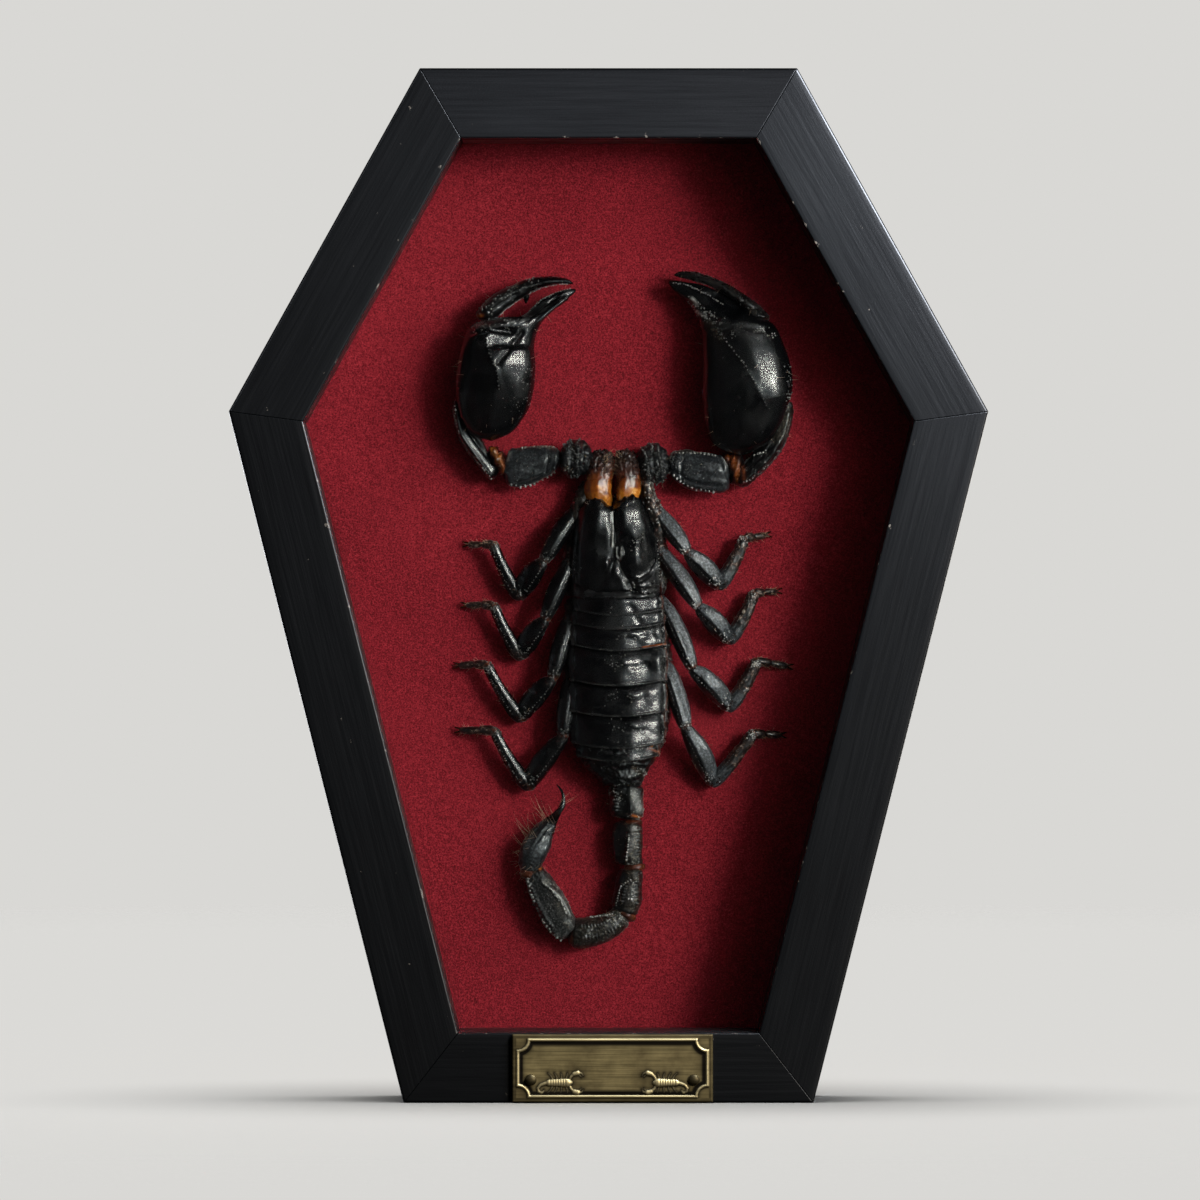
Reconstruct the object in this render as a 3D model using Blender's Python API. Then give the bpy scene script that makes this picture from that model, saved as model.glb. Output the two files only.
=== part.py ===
"""A coffin-shaped shadow box of black-painted wood with a dried scorpion mounted on red felt.

Units are metres, +Z is up, and the window faces -Y. The box stands on its bottom rail with the
origin under its middle. The specimen has its own plane: u runs to the right, w up, h out of the felt.
"""

import math

import bmesh
import bpy
from mathutils import Matrix, Vector

MM = 0.001
GAP = 0.3 * MM  # clearance between pieces that touch

# The outline of the box, seen from the front
HEIGHT = 207.0 * MM
SHOULDER_HEIGHT = 138.3 * MM
SHOULDER_WIDTH = 152.0 * MM
TOP_WIDTH = 75.5 * MM
BOTTOM_WIDTH = 82.0 * MM

# The section of a rail: s runs inwards from its outer side, depth runs back from its face
RAIL_WIDTH = 14.0 * MM
WALL_DEPTH = 23.0 * MM
GROOVE_START = 3.5 * MM
GROOVE_DEPTH = 3.0 * MM
GLASS_THICKNESS = 2.0 * MM
REBATE_WIDTH = 5.5 * MM
FELT_THICKNESS = 1.2 * MM
BOARD_THICKNESS = 3.0 * MM
RAIL_DEPTH = WALL_DEPTH + FELT_THICKNESS + BOARD_THICKNESS + 3 * GAP

# The nameplate on the bottom rail
PLATE_WIDTH = 40.2 * MM
PLATE_HEIGHT = 13.6 * MM
PLATE_THICKNESS = 0.8 * MM
PLATE_RIM = 0.25 * MM
PLATE_X = 0.8 * MM
PLATE_Z = 7.0 * MM
PLATE_CORNER = 2.2 * MM
PLATE_MARGIN = 0.9 * MM
RIM_WIDTH = 0.5 * MM
PIN_SPACING = 32.6 * MM
PIN_Z = 4.7 * MM
PIN_HEAD = 1.15 * MM

# Fasteners and the hanger on the back
SCREW_HEAD = 2.2 * MM
SCREW_SHANK = 0.9 * MM
SCREW_LENGTH = 11.0 * MM
NAIL_SHANK = 0.45 * MM
NAIL_LENGTH = 5.0 * MM
HEAD_HEIGHT = 0.7 * MM
HANGER_WIDTH = 42.0 * MM
HANGER_HEIGHT = 7.0 * MM
HANGER_THICKNESS = 0.7 * MM
HANGER_LIFT = 1.6 * MM
HANGER_TEETH = 9
TOOTH_DEPTH = 1.3 * MM

# Depths: the origin lies midway between the front of the pin heads and the back of the hanger
FRONT_REACH = 2 * GAP + PLATE_THICKNESS + HEAD_HEIGHT
BACK_REACH = RAIL_DEPTH + GAP + HANGER_LIFT + HANGER_THICKNESS
FACE_Y = (FRONT_REACH - BACK_REACH) / 2
FELT_Y = FACE_Y + WALL_DEPTH + GAP
BACK_Y = FACE_Y + RAIL_DEPTH

# Where the specimen's own origin, between head shield and abdomen, lies in the box
SPECIMEN_X = 2.15 * MM
SPECIMEN_Z = 100.6 * MM

RAILS = ("rail_lower_right", "rail_upper_right", "rail_top", "rail_upper_left", "rail_lower_left", "rail_bottom")

# Body sections, front to back: u, w, h of the middle, half width, height above and below it
PROSOMA = (
    (-1.3, 20.9, 5.2, 5.6, 2.2, 2.4),
    (-1.3, 19.6, 5.0, 7.0, 3.4, 3.6),
    (-1.1, 16.4, 4.8, 8.2, 4.3, 4.2),
    (-0.9, 12.0, 4.8, 8.8, 4.8, 4.4),
    (-0.6, 7.0, 4.8, 9.1, 5.0, 4.4),
    (-0.3, 3.0, 4.8, 9.2, 4.8, 4.4),
    (-0.3, 0.8, 4.8, 9.1, 4.3, 4.3),
    (-0.1, -0.8, 4.8, 7.6, 3.4, 3.8),
)
EYE_MOUND = (-0.1, 9.6, 9.0, 1.1, 1.9, 1.4)
TERGITE_ENDS = (0.4, -2.9, -5.8, -10.0, -17.1, -23.6, -29.9)
TERGITE_HALF_WIDTHS = (9.2, 9.5, 9.8, 10.1, 10.1, 9.7, 8.5)
ABDOMEN_MIDDLE_U = 0.1
ABDOMEN_TAPER = ((0.3, -31.5, 4.8, 7.9, 4.0, 3.9), (0.7, -34.2, 4.6, 5.6, 3.4, 3.4), (1.4, -36.9, 4.4, 3.4, 2.8, 2.8))

# Tail sections: u and w of both ends of each segment, the height of its middle, half width, half height
TAIL = (
    ((1.7, -37.3), (2.4, -44.8), 4.2, 3.1, 2.9),
    ((2.4, -45.0), (3.1, -53.8), 4.1, 2.6, 2.8),
    ((3.1, -54.0), (1.6, -63.4), 4.0, 2.75, 2.8),
    ((1.5, -63.7), (-8.8, -68.2), 3.9, 2.8, 2.8),
    ((-9.0, -68.1), (-17.6, -55.6), 3.9, 3.1, 2.9),
)
TAIL_SWELL = ((0.0, 0.62), (0.12, 0.86), (0.5, 1.0), (0.86, 1.06), (1.0, 0.72))  # share of length, of size
TAIL_BALL_SIZE = 0.8
TELSON = (
    (-17.9, -55.0, 4.0, 1.1, 1.1),
    (-17.9, -53.0, 4.1, 2.1, 2.0),
    (-16.9, -49.9, 4.3, 2.7, 2.5),
    (-15.2, -46.8, 4.6, 2.2, 2.1),
    (-13.5, -44.4, 5.0, 1.2, 1.2),
    (-12.2, -42.8, 5.3, 0.6, 0.7),
    (-11.4, -40.9, 5.3, 0.42, 0.45),
    (-11.6, -38.7, 4.9, 0.3, 0.3),
    (-12.6, -37.2, 4.3, 0.12, 0.12),
)

# Limb sections: u, w, h, half width, half height
CHELICERA_LEFT = (
    (-3.6, 19.6, 5.6, 2.2, 2.0),
    (-4.0, 22.3, 5.8, 2.6, 2.5),
    (-4.2, 24.7, 5.6, 2.6, 2.5),
    (-3.9, 27.1, 5.0, 2.2, 2.1),
    (-3.3, 29.3, 4.4, 1.6, 1.6),
    (-2.9, 30.7, 3.9, 0.8, 0.9),
)
CHELICERA_RIGHT = (
    (1.6, 19.6, 5.6, 2.0, 2.0),
    (2.1, 22.7, 5.8, 2.3, 2.5),
    (2.0, 25.1, 5.6, 2.35, 2.5),
    (1.3, 27.3, 5.0, 2.1, 2.1),
    (0.6, 29.3, 4.4, 1.6, 1.6),
    (0.1, 30.7, 3.9, 0.8, 0.9),
)
CLAW_ARMS = {
    "left": {
        "hip": (
            (-5.8, 27.6, 4.4, 2.4, 2.6),
            (-7.3, 28.0, 4.4, 3.4, 3.1),
            (-9.2, 28.3, 4.4, 3.6, 3.1),
            (-10.9, 28.3, 4.4, 2.4, 2.5),
        ),
        "upper": (
            (-11.3, 28.2, 4.4, 1.8, 1.9),
            (-13.4, 28.4, 4.5, 2.3, 2.3),
            (-16.8, 27.4, 4.6, 3.7, 2.7),
            (-20.2, 27.0, 4.6, 3.9, 2.8),
            (-22.6, 26.8, 4.5, 3.5, 2.6),
            (-23.6, 27.1, 4.4, 2.4, 1.9),
        ),
        "fore": (
            (-24.2, 27.3, 4.0, 2.3, 2.2),
            (-26.3, 29.0, 3.9, 2.5, 2.8),
            (-28.4, 31.4, 3.9, 2.6, 3.1),
            (-30.2, 33.7, 3.9, 2.6, 3.2),
            (-31.2, 36.2, 3.9, 2.5, 3.1),
            (-31.7, 39.0, 4.0, 2.3, 2.8),
            (-31.8, 41.0, 4.1, 1.5, 2.0),
        ),
        "hand": (
            (-27.7, 32.2, 6.2, 2.4, 2.6),
            (-26.7, 34.6, 6.4, 5.6, 4.6),
            (-26.3, 38.5, 6.6, 7.6, 5.6),
            (-25.5, 43.5, 6.7, 8.3, 5.9),
            (-25.1, 48.6, 6.6, 8.0, 5.5),
            (-24.3, 52.6, 6.3, 7.3, 4.8),
            (-22.0, 55.6, 5.9, 5.4, 3.9),
            (-18.8, 57.4, 5.6, 3.0, 3.0),
            (-16.2, 59.2, 5.4, 1.9, 2.2),
            (-13.6, 61.1, 5.3, 1.35, 1.6),
            (-11.2, 62.0, 5.2, 0.9, 1.1),
            (-8.7, 62.8, 5.0, 0.3, 0.4),
        ),
        "finger": (
            (-28.6, 56.0, 5.6, 1.6, 2.0),
            (-26.6, 58.8, 5.6, 2.7, 2.8),
            (-23.2, 61.2, 5.5, 2.5, 2.5),
            (-19.6, 63.0, 5.4, 1.8, 2.1),
            (-16.4, 64.2, 5.3, 1.3, 1.7),
            (-13.3, 64.8, 5.2, 0.9, 1.2),
            (-10.8, 64.7, 5.1, 0.55, 0.7),
            (-9.3, 64.3, 5.0, 0.2, 0.25),
        ),
        "balls": (
            (-6.6, 23.6, 3.8, 2.7, 3.6, 2.8),
            (-11.2, 28.3, 4.4, 2.2, 2.2, 2.2),
            (-24.2, 27.6, 4.2, 2.0, 2.2, 2.2),
        ),
    },
    "right": {
        "hip": (
            (4.4, 27.3, 4.4, 2.4, 2.6),
            (6.1, 27.6, 4.4, 3.3, 3.1),
            (7.9, 27.7, 4.4, 3.5, 3.1),
            (9.6, 27.5, 4.4, 2.3, 2.5),
        ),
        "upper": (
            (10.0, 27.2, 4.4, 1.6, 1.9),
            (12.4, 27.5, 4.5, 2.4, 2.3),
            (15.4, 26.9, 4.6, 3.2, 2.6),
            (18.4, 26.3, 4.6, 3.8, 2.8),
            (20.6, 25.9, 4.5, 3.6, 2.6),
            (21.8, 25.8, 4.4, 2.5, 1.9),
        ),
        "fore": (
            (22.5, 25.7, 4.0, 2.4, 2.2),
            (25.5, 26.1, 3.9, 2.7, 2.8),
            (28.4, 27.7, 3.9, 2.8, 3.1),
            (30.8, 30.3, 3.9, 2.8, 3.2),
            (32.3, 33.6, 3.9, 2.7, 3.1),
            (32.9, 37.2, 4.0, 2.4, 2.8),
            (33.0, 40.2, 4.1, 1.6, 2.0),
        ),
        "hand": (
            (25.0, 29.9, 6.2, 2.6, 2.6),
            (25.7, 32.4, 6.4, 6.2, 4.6),
            (25.9, 36.4, 6.6, 8.7, 5.7),
            (25.9, 41.5, 6.7, 9.6, 6.0),
            (25.6, 46.6, 6.7, 9.3, 5.8),
            (25.2, 50.8, 6.4, 8.3, 5.2),
            (24.0, 54.2, 6.1, 6.6, 4.4),
            (20.4, 56.5, 5.8, 4.1, 3.4),
            (17.2, 58.6, 5.6, 2.7, 2.6),
            (14.8, 60.7, 5.4, 2.0, 2.1),
            (12.4, 62.7, 5.2, 1.3, 1.5),
            (10.3, 64.5, 5.0, 0.4, 0.5),
        ),
        "finger": (
            (29.4, 55.5, 5.6, 1.6, 2.0),
            (27.4, 58.6, 5.6, 2.7, 2.8),
            (24.2, 60.9, 5.5, 2.5, 2.5),
            (20.8, 62.9, 5.4, 2.1, 2.1),
            (17.8, 64.6, 5.3, 1.6, 1.7),
            (14.8, 65.8, 5.2, 1.2, 1.2),
            (12.4, 66.3, 5.1, 0.7, 0.7),
            (10.9, 66.2, 5.0, 0.3, 0.3),
        ),
        "balls": (
            (4.9, 23.4, 3.8, 2.7, 3.6, 2.8),
            (9.8, 27.4, 4.4, 2.2, 2.2, 2.2),
            (22.2, 25.9, 4.2, 2.0, 2.3, 2.2),
        ),
    },
}

# Leg joints, front pair first: hip, first knee, second knee, ankle, tip, each u and w
LEGS = {
    "left": (
        ((-8.2, 18.6), (-15.3, 7.7), (-20.2, 0.7), (-25.4, 11.3), (-30.8, 11.3)),
        ((-8.9, 9.4), (-15.0, -4.1), (-19.9, -11.5), (-25.3, -1.0), (-31.2, -1.0)),
        ((-9.2, -2.2), (-13.4, -16.0), (-20.0, -23.9), (-26.7, -13.0), (-32.6, -13.2)),
        ((-9.2, -14.4), (-11.3, -27.8), (-18.4, -37.7), (-25.3, -26.3), (-32.4, -26.3)),
    ),
    "right": (
        ((6.2, 19.0), (13.8, 9.4), (20.2, 2.8), (25.3, 12.6), (30.0, 13.2)),
        ((7.6, 10.6), (16.0, -1.5), (22.2, -8.3), (27.3, 1.5), (32.2, 1.8)),
        ((8.4, 0.4), (14.8, -13.8), (22.1, -21.7), (27.9, -12.2), (34.4, -13.4)),
        ((9.0, -12.2), (13.4, -25.9), (18.8, -36.9), (27.1, -26.9), (33.0, -27.3)),
    ),
}
LEG_JOINT_HEIGHTS = (4.0, 6.2, 3.6, 2.2, 1.1)
LEG_HALF_WIDTHS = (1.75, 2.0, 1.4, 0.85)  # femur, patella, tibia, tarsus
LEG_HALF_HEIGHTS = (2.0, 2.0, 1.4, 0.85)
LEG_SIDES = (7, 7, 6, 5)

BLACK_WOOD = ((0.012, 0.013, 0.015), 0.62, 0.0)
RED_FELT = ((0.19, 0.006, 0.012), 0.95, 0.0)
CLEAR_GLASS = ((0.9, 0.95, 0.94), 0.02, 0.0, 0.15)
BROWN_BOARD = ((0.17, 0.11, 0.07), 0.85, 0.0)
OLD_BRASS = ((0.32, 0.25, 0.13), 0.4, 0.9)
STEEL = ((0.45, 0.45, 0.46), 0.35, 1.0)
BLACK_CUTICLE = ((0.008, 0.008, 0.009), 0.22, 0.0)


def clear_scene():
    for obj in list(bpy.data.objects):
        bpy.data.objects.remove(obj, do_unlink=True)


def material(name, finish):
    colour, roughness, metallic, alpha = (*finish, 1.0)[:4]
    made = bpy.data.materials.get(name) or bpy.data.materials.new(name)
    made.use_nodes = True
    shader = made.node_tree.nodes["Principled BSDF"]
    shader.inputs["Base Color"].default_value = (*colour, 1.0)
    shader.inputs["Roughness"].default_value = roughness
    shader.inputs["Metallic"].default_value = metallic
    shader.inputs["Alpha"].default_value = alpha
    return made


def add_object(name, bm, finish=None, smooth=False):
    """The bmesh as an object of that name; with no finish it is a hidden cutter."""
    bmesh.ops.recalc_face_normals(bm, faces=bm.faces)
    mesh = bpy.data.meshes.new(name)
    bm.to_mesh(mesh)
    bm.free()
    obj = bpy.data.objects.new(name, mesh)
    bpy.context.scene.collection.objects.link(obj)
    if finish is None:
        obj.hide_render = True
        obj.display_type = "WIRE"
    else:
        obj.data.materials.append(material(*finish))
    if smooth:
        mesh.shade_smooth()
        mesh.set_sharp_from_angle(angle=math.radians(50))
    return obj


def boolean(obj, other, operation="DIFFERENCE", own_overlaps=False):
    modifier = obj.modifiers.new(operation.lower() + "_" + other.name, "BOOLEAN")
    modifier.operation = operation
    modifier.object = other
    modifier.use_self = own_overlaps
    return modifier


def coffin_outline():
    """The six outer corners as (x, z), anticlockwise from the bottom right one."""
    right = [
        Vector((BOTTOM_WIDTH / 2, 0.0)),
        Vector((SHOULDER_WIDTH / 2, SHOULDER_HEIGHT)),
        Vector((TOP_WIDTH / 2, HEIGHT)),
    ]
    return right + [Vector((-p.x, p.y)) for p in reversed(right)]


def edge_normals(outline):
    """The unit direction and the inward normal of each edge, from corner i to corner i + 1."""
    found = []
    for i, corner in enumerate(outline):
        along = (outline[(i + 1) % len(outline)] - corner).normalized()
        found.append((along, Vector((-along.y, along.x))))
    return found


def inset_outline(distance):
    """The box outline moved inwards by that distance."""
    outline = coffin_outline()
    edges = edge_normals(outline)
    moved = []
    for i, corner in enumerate(outline):
        before, after = edges[i - 1][1], edges[i][1]
        moved.append(corner + (before + after) * (distance / (1 + before.dot(after))))
    return moved


def rail_section():
    """The rail's section as (s, depth): a groove for the glass and a rebate for felt and board."""
    groove_end = GROOVE_START + GLASS_THICKNESS + 2 * GAP
    return (
        (0.0, 0.0),
        (RAIL_WIDTH, 0.0),
        (RAIL_WIDTH, GROOVE_START),
        (RAIL_WIDTH - GROOVE_DEPTH, GROOVE_START),
        (RAIL_WIDTH - GROOVE_DEPTH, groove_end),
        (RAIL_WIDTH, groove_end),
        (RAIL_WIDTH, WALL_DEPTH),
        (RAIL_WIDTH - REBATE_WIDTH, WALL_DEPTH),
        (RAIL_WIDTH - REBATE_WIDTH, RAIL_DEPTH),
        (0.0, RAIL_DEPTH),
    )


def closed_loft(bm, loops):
    """Quads between successive loops of vertices, and a face over each end."""
    for first, second in zip(loops, loops[1:]):
        for i in range(len(first)):
            j = (i + 1) % len(first)
            bm.faces.new((first[i], first[j], second[j], second[i]))
    bm.faces.new(reversed(loops[0]))
    bm.faces.new(loops[-1])


def make_rails():
    """Six mitred rails; each end is the section laid on the mitre plane, half a gap short of it."""
    outline = coffin_outline()
    edges = edge_normals(outline)
    rails = []
    for i, name in enumerate(RAILS):
        along = edges[i][0]
        bm = bmesh.new()
        loops = []
        for corner, sign in ((i, 1), ((i + 1) % len(RAILS), -1)):
            mitre = (edges[corner - 1][1] + edges[corner][1]).normalized()
            back_off = along * (sign * GAP / 2 / abs(along.cross(mitre)))
            loop = []
            for s, depth in rail_section():
                point = inset_outline(s)[corner] + back_off
                loop.append(bm.verts.new((point.x, FACE_Y + depth, point.y)))
            loops.append(loop)
        closed_loft(bm, loops)
        rails.append(add_object(name, bm, ("black_painted_wood", BLACK_WOOD)))
    return rails


def make_panel(name, distance, front_depth, thickness, finish):
    """A flat sheet of the box outline, inset by that distance."""
    bm = bmesh.new()
    face_y = FACE_Y + front_depth
    face = bm.faces.new([bm.verts.new((p.x, face_y, p.y)) for p in inset_outline(distance)])
    grown = bmesh.ops.extrude_face_region(bm, geom=[face])
    back = [v for v in grown["geom"] if isinstance(v, bmesh.types.BMVert)]
    bmesh.ops.translate(bm, verts=back, vec=(0.0, thickness, 0.0))
    return add_object(name, bm, finish)


def screw_points():
    """One screw for each rail, at the middle of the rebate's step, as (x, z)."""
    step = inset_outline(RAIL_WIDTH - REBATE_WIDTH / 2)
    return [(step[i] + step[(i + 1) % len(step)]) / 2 for i in range(len(step))]


def peg(bm, x, z, y_from, y_to, radius, sides=8):
    """A plain cylinder along Y in the bmesh."""
    turn = Matrix.Rotation(math.radians(90), 4, "X")
    place = Matrix.Translation((x, (y_from + y_to) / 2, z)) @ turn
    bmesh.ops.create_cone(
        bm, cap_ends=True, segments=sides, radius1=radius, radius2=radius, depth=abs(y_to - y_from), matrix=place
    )


def drill(name, points, y_from, y_to, radius):
    """Hidden cutters for a set of holes along Y."""
    bm = bmesh.new()
    for x, z in points:
        peg(bm, x, z, y_from, y_to, radius)
    return add_object(name, bm)


def fastener(name, x, z, seat_y, outward, head_radius, shank_radius, length, finish, sides=8):
    """A domed head on a shank, turned in one profile: outward is -1 to the front and +1 to the back."""
    profile = [(shank_radius, -length), (shank_radius, GAP), (head_radius, GAP)]
    for angle in (math.radians(30), math.radians(65)):
        profile.append((head_radius * math.cos(angle), GAP + HEAD_HEIGHT * math.sin(angle)))
    bm = bmesh.new()
    loops = []
    for radius, reach in profile:
        loop = []
        for i in range(sides):
            angle = 2 * math.pi * i / sides
            place = (x + radius * math.cos(angle), seat_y + outward * reach, z + radius * math.sin(angle))
            loop.append(bm.verts.new(place))
        loops.append(loop)
    closed_loft(bm, loops)
    return add_object(name, bm, finish, smooth=True)


def plate_loops(bm, x_half, z_half, corner, depth_y, square=False):
    """A rectangle with scooped corners, or the plain rectangle with points to match, as a loop."""
    steps = 4
    loop = []
    for quarter, (sx, sz) in enumerate(((1, 1), (-1, 1), (-1, -1), (1, -1))):
        for step in range(steps + 1):
            turn = step / steps if quarter % 2 == 0 else 1 - step / steps
            angle = math.radians(90 * turn)
            across, down = corner * math.sin(angle), corner * math.cos(angle)
            if square:
                reach = max(across, down)
                across, down = across * (reach > down), down * (reach > across)
                if abs(math.sin(angle) - math.cos(angle)) < 1e-6:
                    across = down = 0.0
            x = sx * (x_half - across)
            z = sz * (z_half - down)
            loop.append(bm.verts.new((PLATE_X + x, depth_y, PLATE_Z + z)))
    return loop


def make_nameplate():
    """A thin brass plate with a raised border line whose corners are scooped."""
    bm = bmesh.new()
    back_y = FACE_Y - GAP
    field_y = back_y - PLATE_THICKNESS
    rim_y = field_y - PLATE_RIM
    half_w, half_h = PLATE_WIDTH / 2, PLATE_HEIGHT / 2
    line_w, line_h = half_w - PLATE_MARGIN, half_h - PLATE_MARGIN
    inner_w, inner_h = line_w - RIM_WIDTH, line_h - RIM_WIDTH
    loops = [
        plate_loops(bm, half_w, half_h, PLATE_CORNER, back_y, square=True),
        plate_loops(bm, half_w, half_h, PLATE_CORNER, field_y, square=True),
        plate_loops(bm, line_w, line_h, PLATE_CORNER, field_y),
        plate_loops(bm, line_w, line_h, PLATE_CORNER, rim_y),
        plate_loops(bm, inner_w, inner_h, PLATE_CORNER, rim_y),
        plate_loops(bm, inner_w, inner_h, PLATE_CORNER, field_y),
    ]
    closed_loft(bm, loops)
    return add_object("nameplate", bm, ("old_brass", OLD_BRASS))


def make_hanger():
    """A sawtooth strip: its ends lie on the top rail, its toothed middle stands off it."""
    z_top = HEIGHT - 0.6 * MM
    tab = 0.2 * HANGER_WIDTH
    columns = [-HANGER_WIDTH / 2, -HANGER_WIDTH / 2 + tab]
    pitch = (HANGER_WIDTH - 2.6 * tab) / (2 * HANGER_TEETH)
    columns += [pitch * (k - HANGER_TEETH) for k in range(2 * HANGER_TEETH + 1)]
    columns += [HANGER_WIDTH / 2 - tab, HANGER_WIDTH / 2]
    bm = bmesh.new()
    loops = []
    for k, x in enumerate(columns):
        in_middle = 2 <= k <= len(columns) - 3
        back = BACK_Y + GAP + (HANGER_LIFT if in_middle else 0.0)
        cut = TOOTH_DEPTH if in_middle and k % 2 == 1 else 0.0
        z_low = z_top - HANGER_HEIGHT + cut
        corners = ((back, z_low), (back + HANGER_THICKNESS, z_low), (back + HANGER_THICKNESS, z_top), (back, z_top))
        loops.append([bm.verts.new((x, y, z)) for y, z in corners])
    closed_loft(bm, loops)
    return add_object("hanger", bm, ("steel", STEEL))


def on_felt(u, w, h):
    """A point of the specimen's plane, given in millimetres, in the box's frame."""
    return Vector((SPECIMEN_X + u * MM, FELT_Y - h * MM, SPECIMEN_Z + w * MM))


def section_ring(centre, forward, half_width, rise, drop, sides, keel=0.0, groove=0.0):
    """Points round an oval across forward: width along the felt, rise away from it and drop towards it."""
    out = Vector((0.0, -1.0, 0.0))
    out = (out - forward * out.dot(forward)).normalized()
    side = forward.cross(out).normalized()
    ring = []
    for i in range(sides):
        angle = 2 * math.pi * i / sides
        swell = 1 - keel * (i % 2)
        across = half_width * swell * math.cos(angle)
        height = (rise if math.sin(angle) > 0 else drop) * swell * math.sin(angle)
        height -= groove * max(0.0, math.sin(angle)) * math.exp(-((across / (1.3 * MM)) ** 2))
        ring.append(centre + side * across + out * height)
    return ring


def directions(points):
    """The unit direction at each point of a route, the mean of the runs on either side."""
    runs = [(b - a).normalized() for a, b in zip(points, points[1:])]
    return [(before + after).normalized() for before, after in zip([runs[0], *runs], [*runs, runs[-1]])]


def add_limb(bm, sections, sides, headings=None, grow=0.0, keel=0.0, groove=0.0, notch=0.0):
    """A closed loft through oval sections of u, w, h, half width, rise and drop, in millimetres."""
    centres = [on_felt(*section[:3]) for section in sections]
    headings = headings or directions(centres)
    loops = []
    for k, (centre, forward, section) in enumerate(zip(centres, headings, sections)):
        half_width, rise = section[3] * MM + grow, section[4] * MM + grow
        drop = (section[5] if len(section) > 5 else section[4]) * MM + grow
        if k in (0, len(sections) - 1):
            centre = centre + forward * (grow if k else -grow)
        ring = section_ring(centre, forward, half_width, rise, drop, sides, keel, groove)
        if k == 0 and notch:
            ring = [p + forward * notch * math.exp(-(((p.x - centre.x) / (1.6 * MM)) ** 2)) for p in ring]
        loops.append([bm.verts.new(p) for p in ring])
    closed_loft(bm, loops)


def limb(name, sections, sides, finish=None, **shape):
    bm = bmesh.new()
    add_limb(bm, sections, sides, **shape)
    return add_object(name, bm, finish, smooth=finish is not None)


def add_ball(bm, ball, subdivisions=1):
    """An ellipsoid: u, w, h of its middle and its half sizes along them, in millimetres."""
    u, w, h, half_u, half_w, half_h = ball
    scale = Matrix.Diagonal((half_u * MM, half_h * MM, half_w * MM, 1.0))
    place = Matrix.Translation(on_felt(u, w, h)) @ scale
    bmesh.ops.create_icosphere(bm, subdivisions=subdivisions, radius=1.0, matrix=place)


def abdomen_sections():
    """Seven tergites: each rises from the one in front, swells and ends in a step."""
    sections = []
    for k, (start, half_width) in enumerate(zip(TERGITE_ENDS, TERGITE_HALF_WIDTHS)):
        last = k == len(TERGITE_ENDS) - 1
        end = ABDOMEN_TAPER[0][1] if last else TERGITE_ENDS[k + 1]
        length = start - end
        sections.append((ABDOMEN_MIDDLE_U, start - 0.05, 4.8, half_width - 0.5, 4.1, 4.2))
        sections.append((ABDOMEN_MIDDLE_U, start - 0.3 * length, 4.8, half_width, 4.75, 4.4))
        if not last:
            sections.append((ABDOMEN_MIDDLE_U, end + 0.15, 4.8, half_width, 4.9, 4.4))
    return [*sections, *ABDOMEN_TAPER]


def make_body(cuticle):
    """Head shield, abdomen and jaws run together, and hidden cutters a little larger than each."""
    bm = bmesh.new()
    add_limb(bm, PROSOMA, 22, groove=0.9 * MM, notch=2.6 * MM)
    add_limb(bm, abdomen_sections(), 18)
    add_limb(bm, CHELICERA_LEFT, 8)
    add_limb(bm, CHELICERA_RIGHT, 8)
    body = add_object("scorpion_body", bm, cuticle, smooth=True)
    bm = bmesh.new()
    add_ball(bm, EYE_MOUND, subdivisions=2)
    boolean(body, add_object("eye_mound", bm), "UNION", own_overlaps=True)
    shapes = {
        "head": (PROSOMA, 22),
        "abdomen": (abdomen_sections(), 18),
        "left_jaw": (CHELICERA_LEFT, 8),
        "right_jaw": (CHELICERA_RIGHT, 8),
    }
    return {key: limb(f"{key}_room", *shape, grow=GAP) for key, shape in shapes.items()}


def make_claw_arms(cuticle, rooms):
    """Each claw arm is its joints, hand and finger run together, cut clear of head and jaws."""
    for side, pieces in CLAW_ARMS.items():
        bm = bmesh.new()
        for key, sides in (("hip", 8), ("upper", 8), ("fore", 8), ("hand", 14), ("finger", 8)):
            add_limb(bm, pieces[key], sides)
        for ball in pieces["balls"]:
            add_ball(bm, ball)
        arm = add_object(f"claw_arm_{side}", bm, cuticle, smooth=True)
        boolean(arm, rooms["head"], own_overlaps=True)
        boolean(arm, rooms[f"{side}_jaw"])


def tail_shape(k):
    """Sections of one tail segment and their headings: at a joint both ends face the halved bend."""
    ends = [(Vector(start), Vector(end)) for start, end, *_ in TAIL]
    flat = [Vector((end.x - start.x, 0.0, end.y - start.y)).normalized() for start, end in ends]
    before = (flat[k - 1] + flat[k]).normalized() if k else flat[k]
    after = (flat[k] + flat[k + 1]).normalized() if k + 1 < len(flat) else flat[k]
    start, end, (h, half_width, half_height) = *ends[k], TAIL[k][2:]
    sections = []
    for share, size in TAIL_SWELL:
        point = start.lerp(end, share)
        sections.append((point.x, point.y, h, half_width * size, half_height * size))
    return sections, [before, flat[k], flat[k], flat[k], after]


def make_tail(cuticle, rooms):
    """Five keeled segments and the sting, linked by the ball at each joint."""
    bm = bmesh.new()
    for k, (_, end, h, half_width, half_height) in enumerate(TAIL):
        sections, headings = tail_shape(k)
        add_limb(bm, sections, 12, headings=headings, keel=0.1)
        size = TAIL_BALL_SIZE
        add_ball(bm, (*end, h, half_width * size, half_width * size, half_height * size))
    add_limb(bm, TELSON, 8)
    tail = add_object("scorpion_tail", bm, cuticle, smooth=True)
    boolean(tail, rooms["abdomen"], own_overlaps=True)


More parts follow.
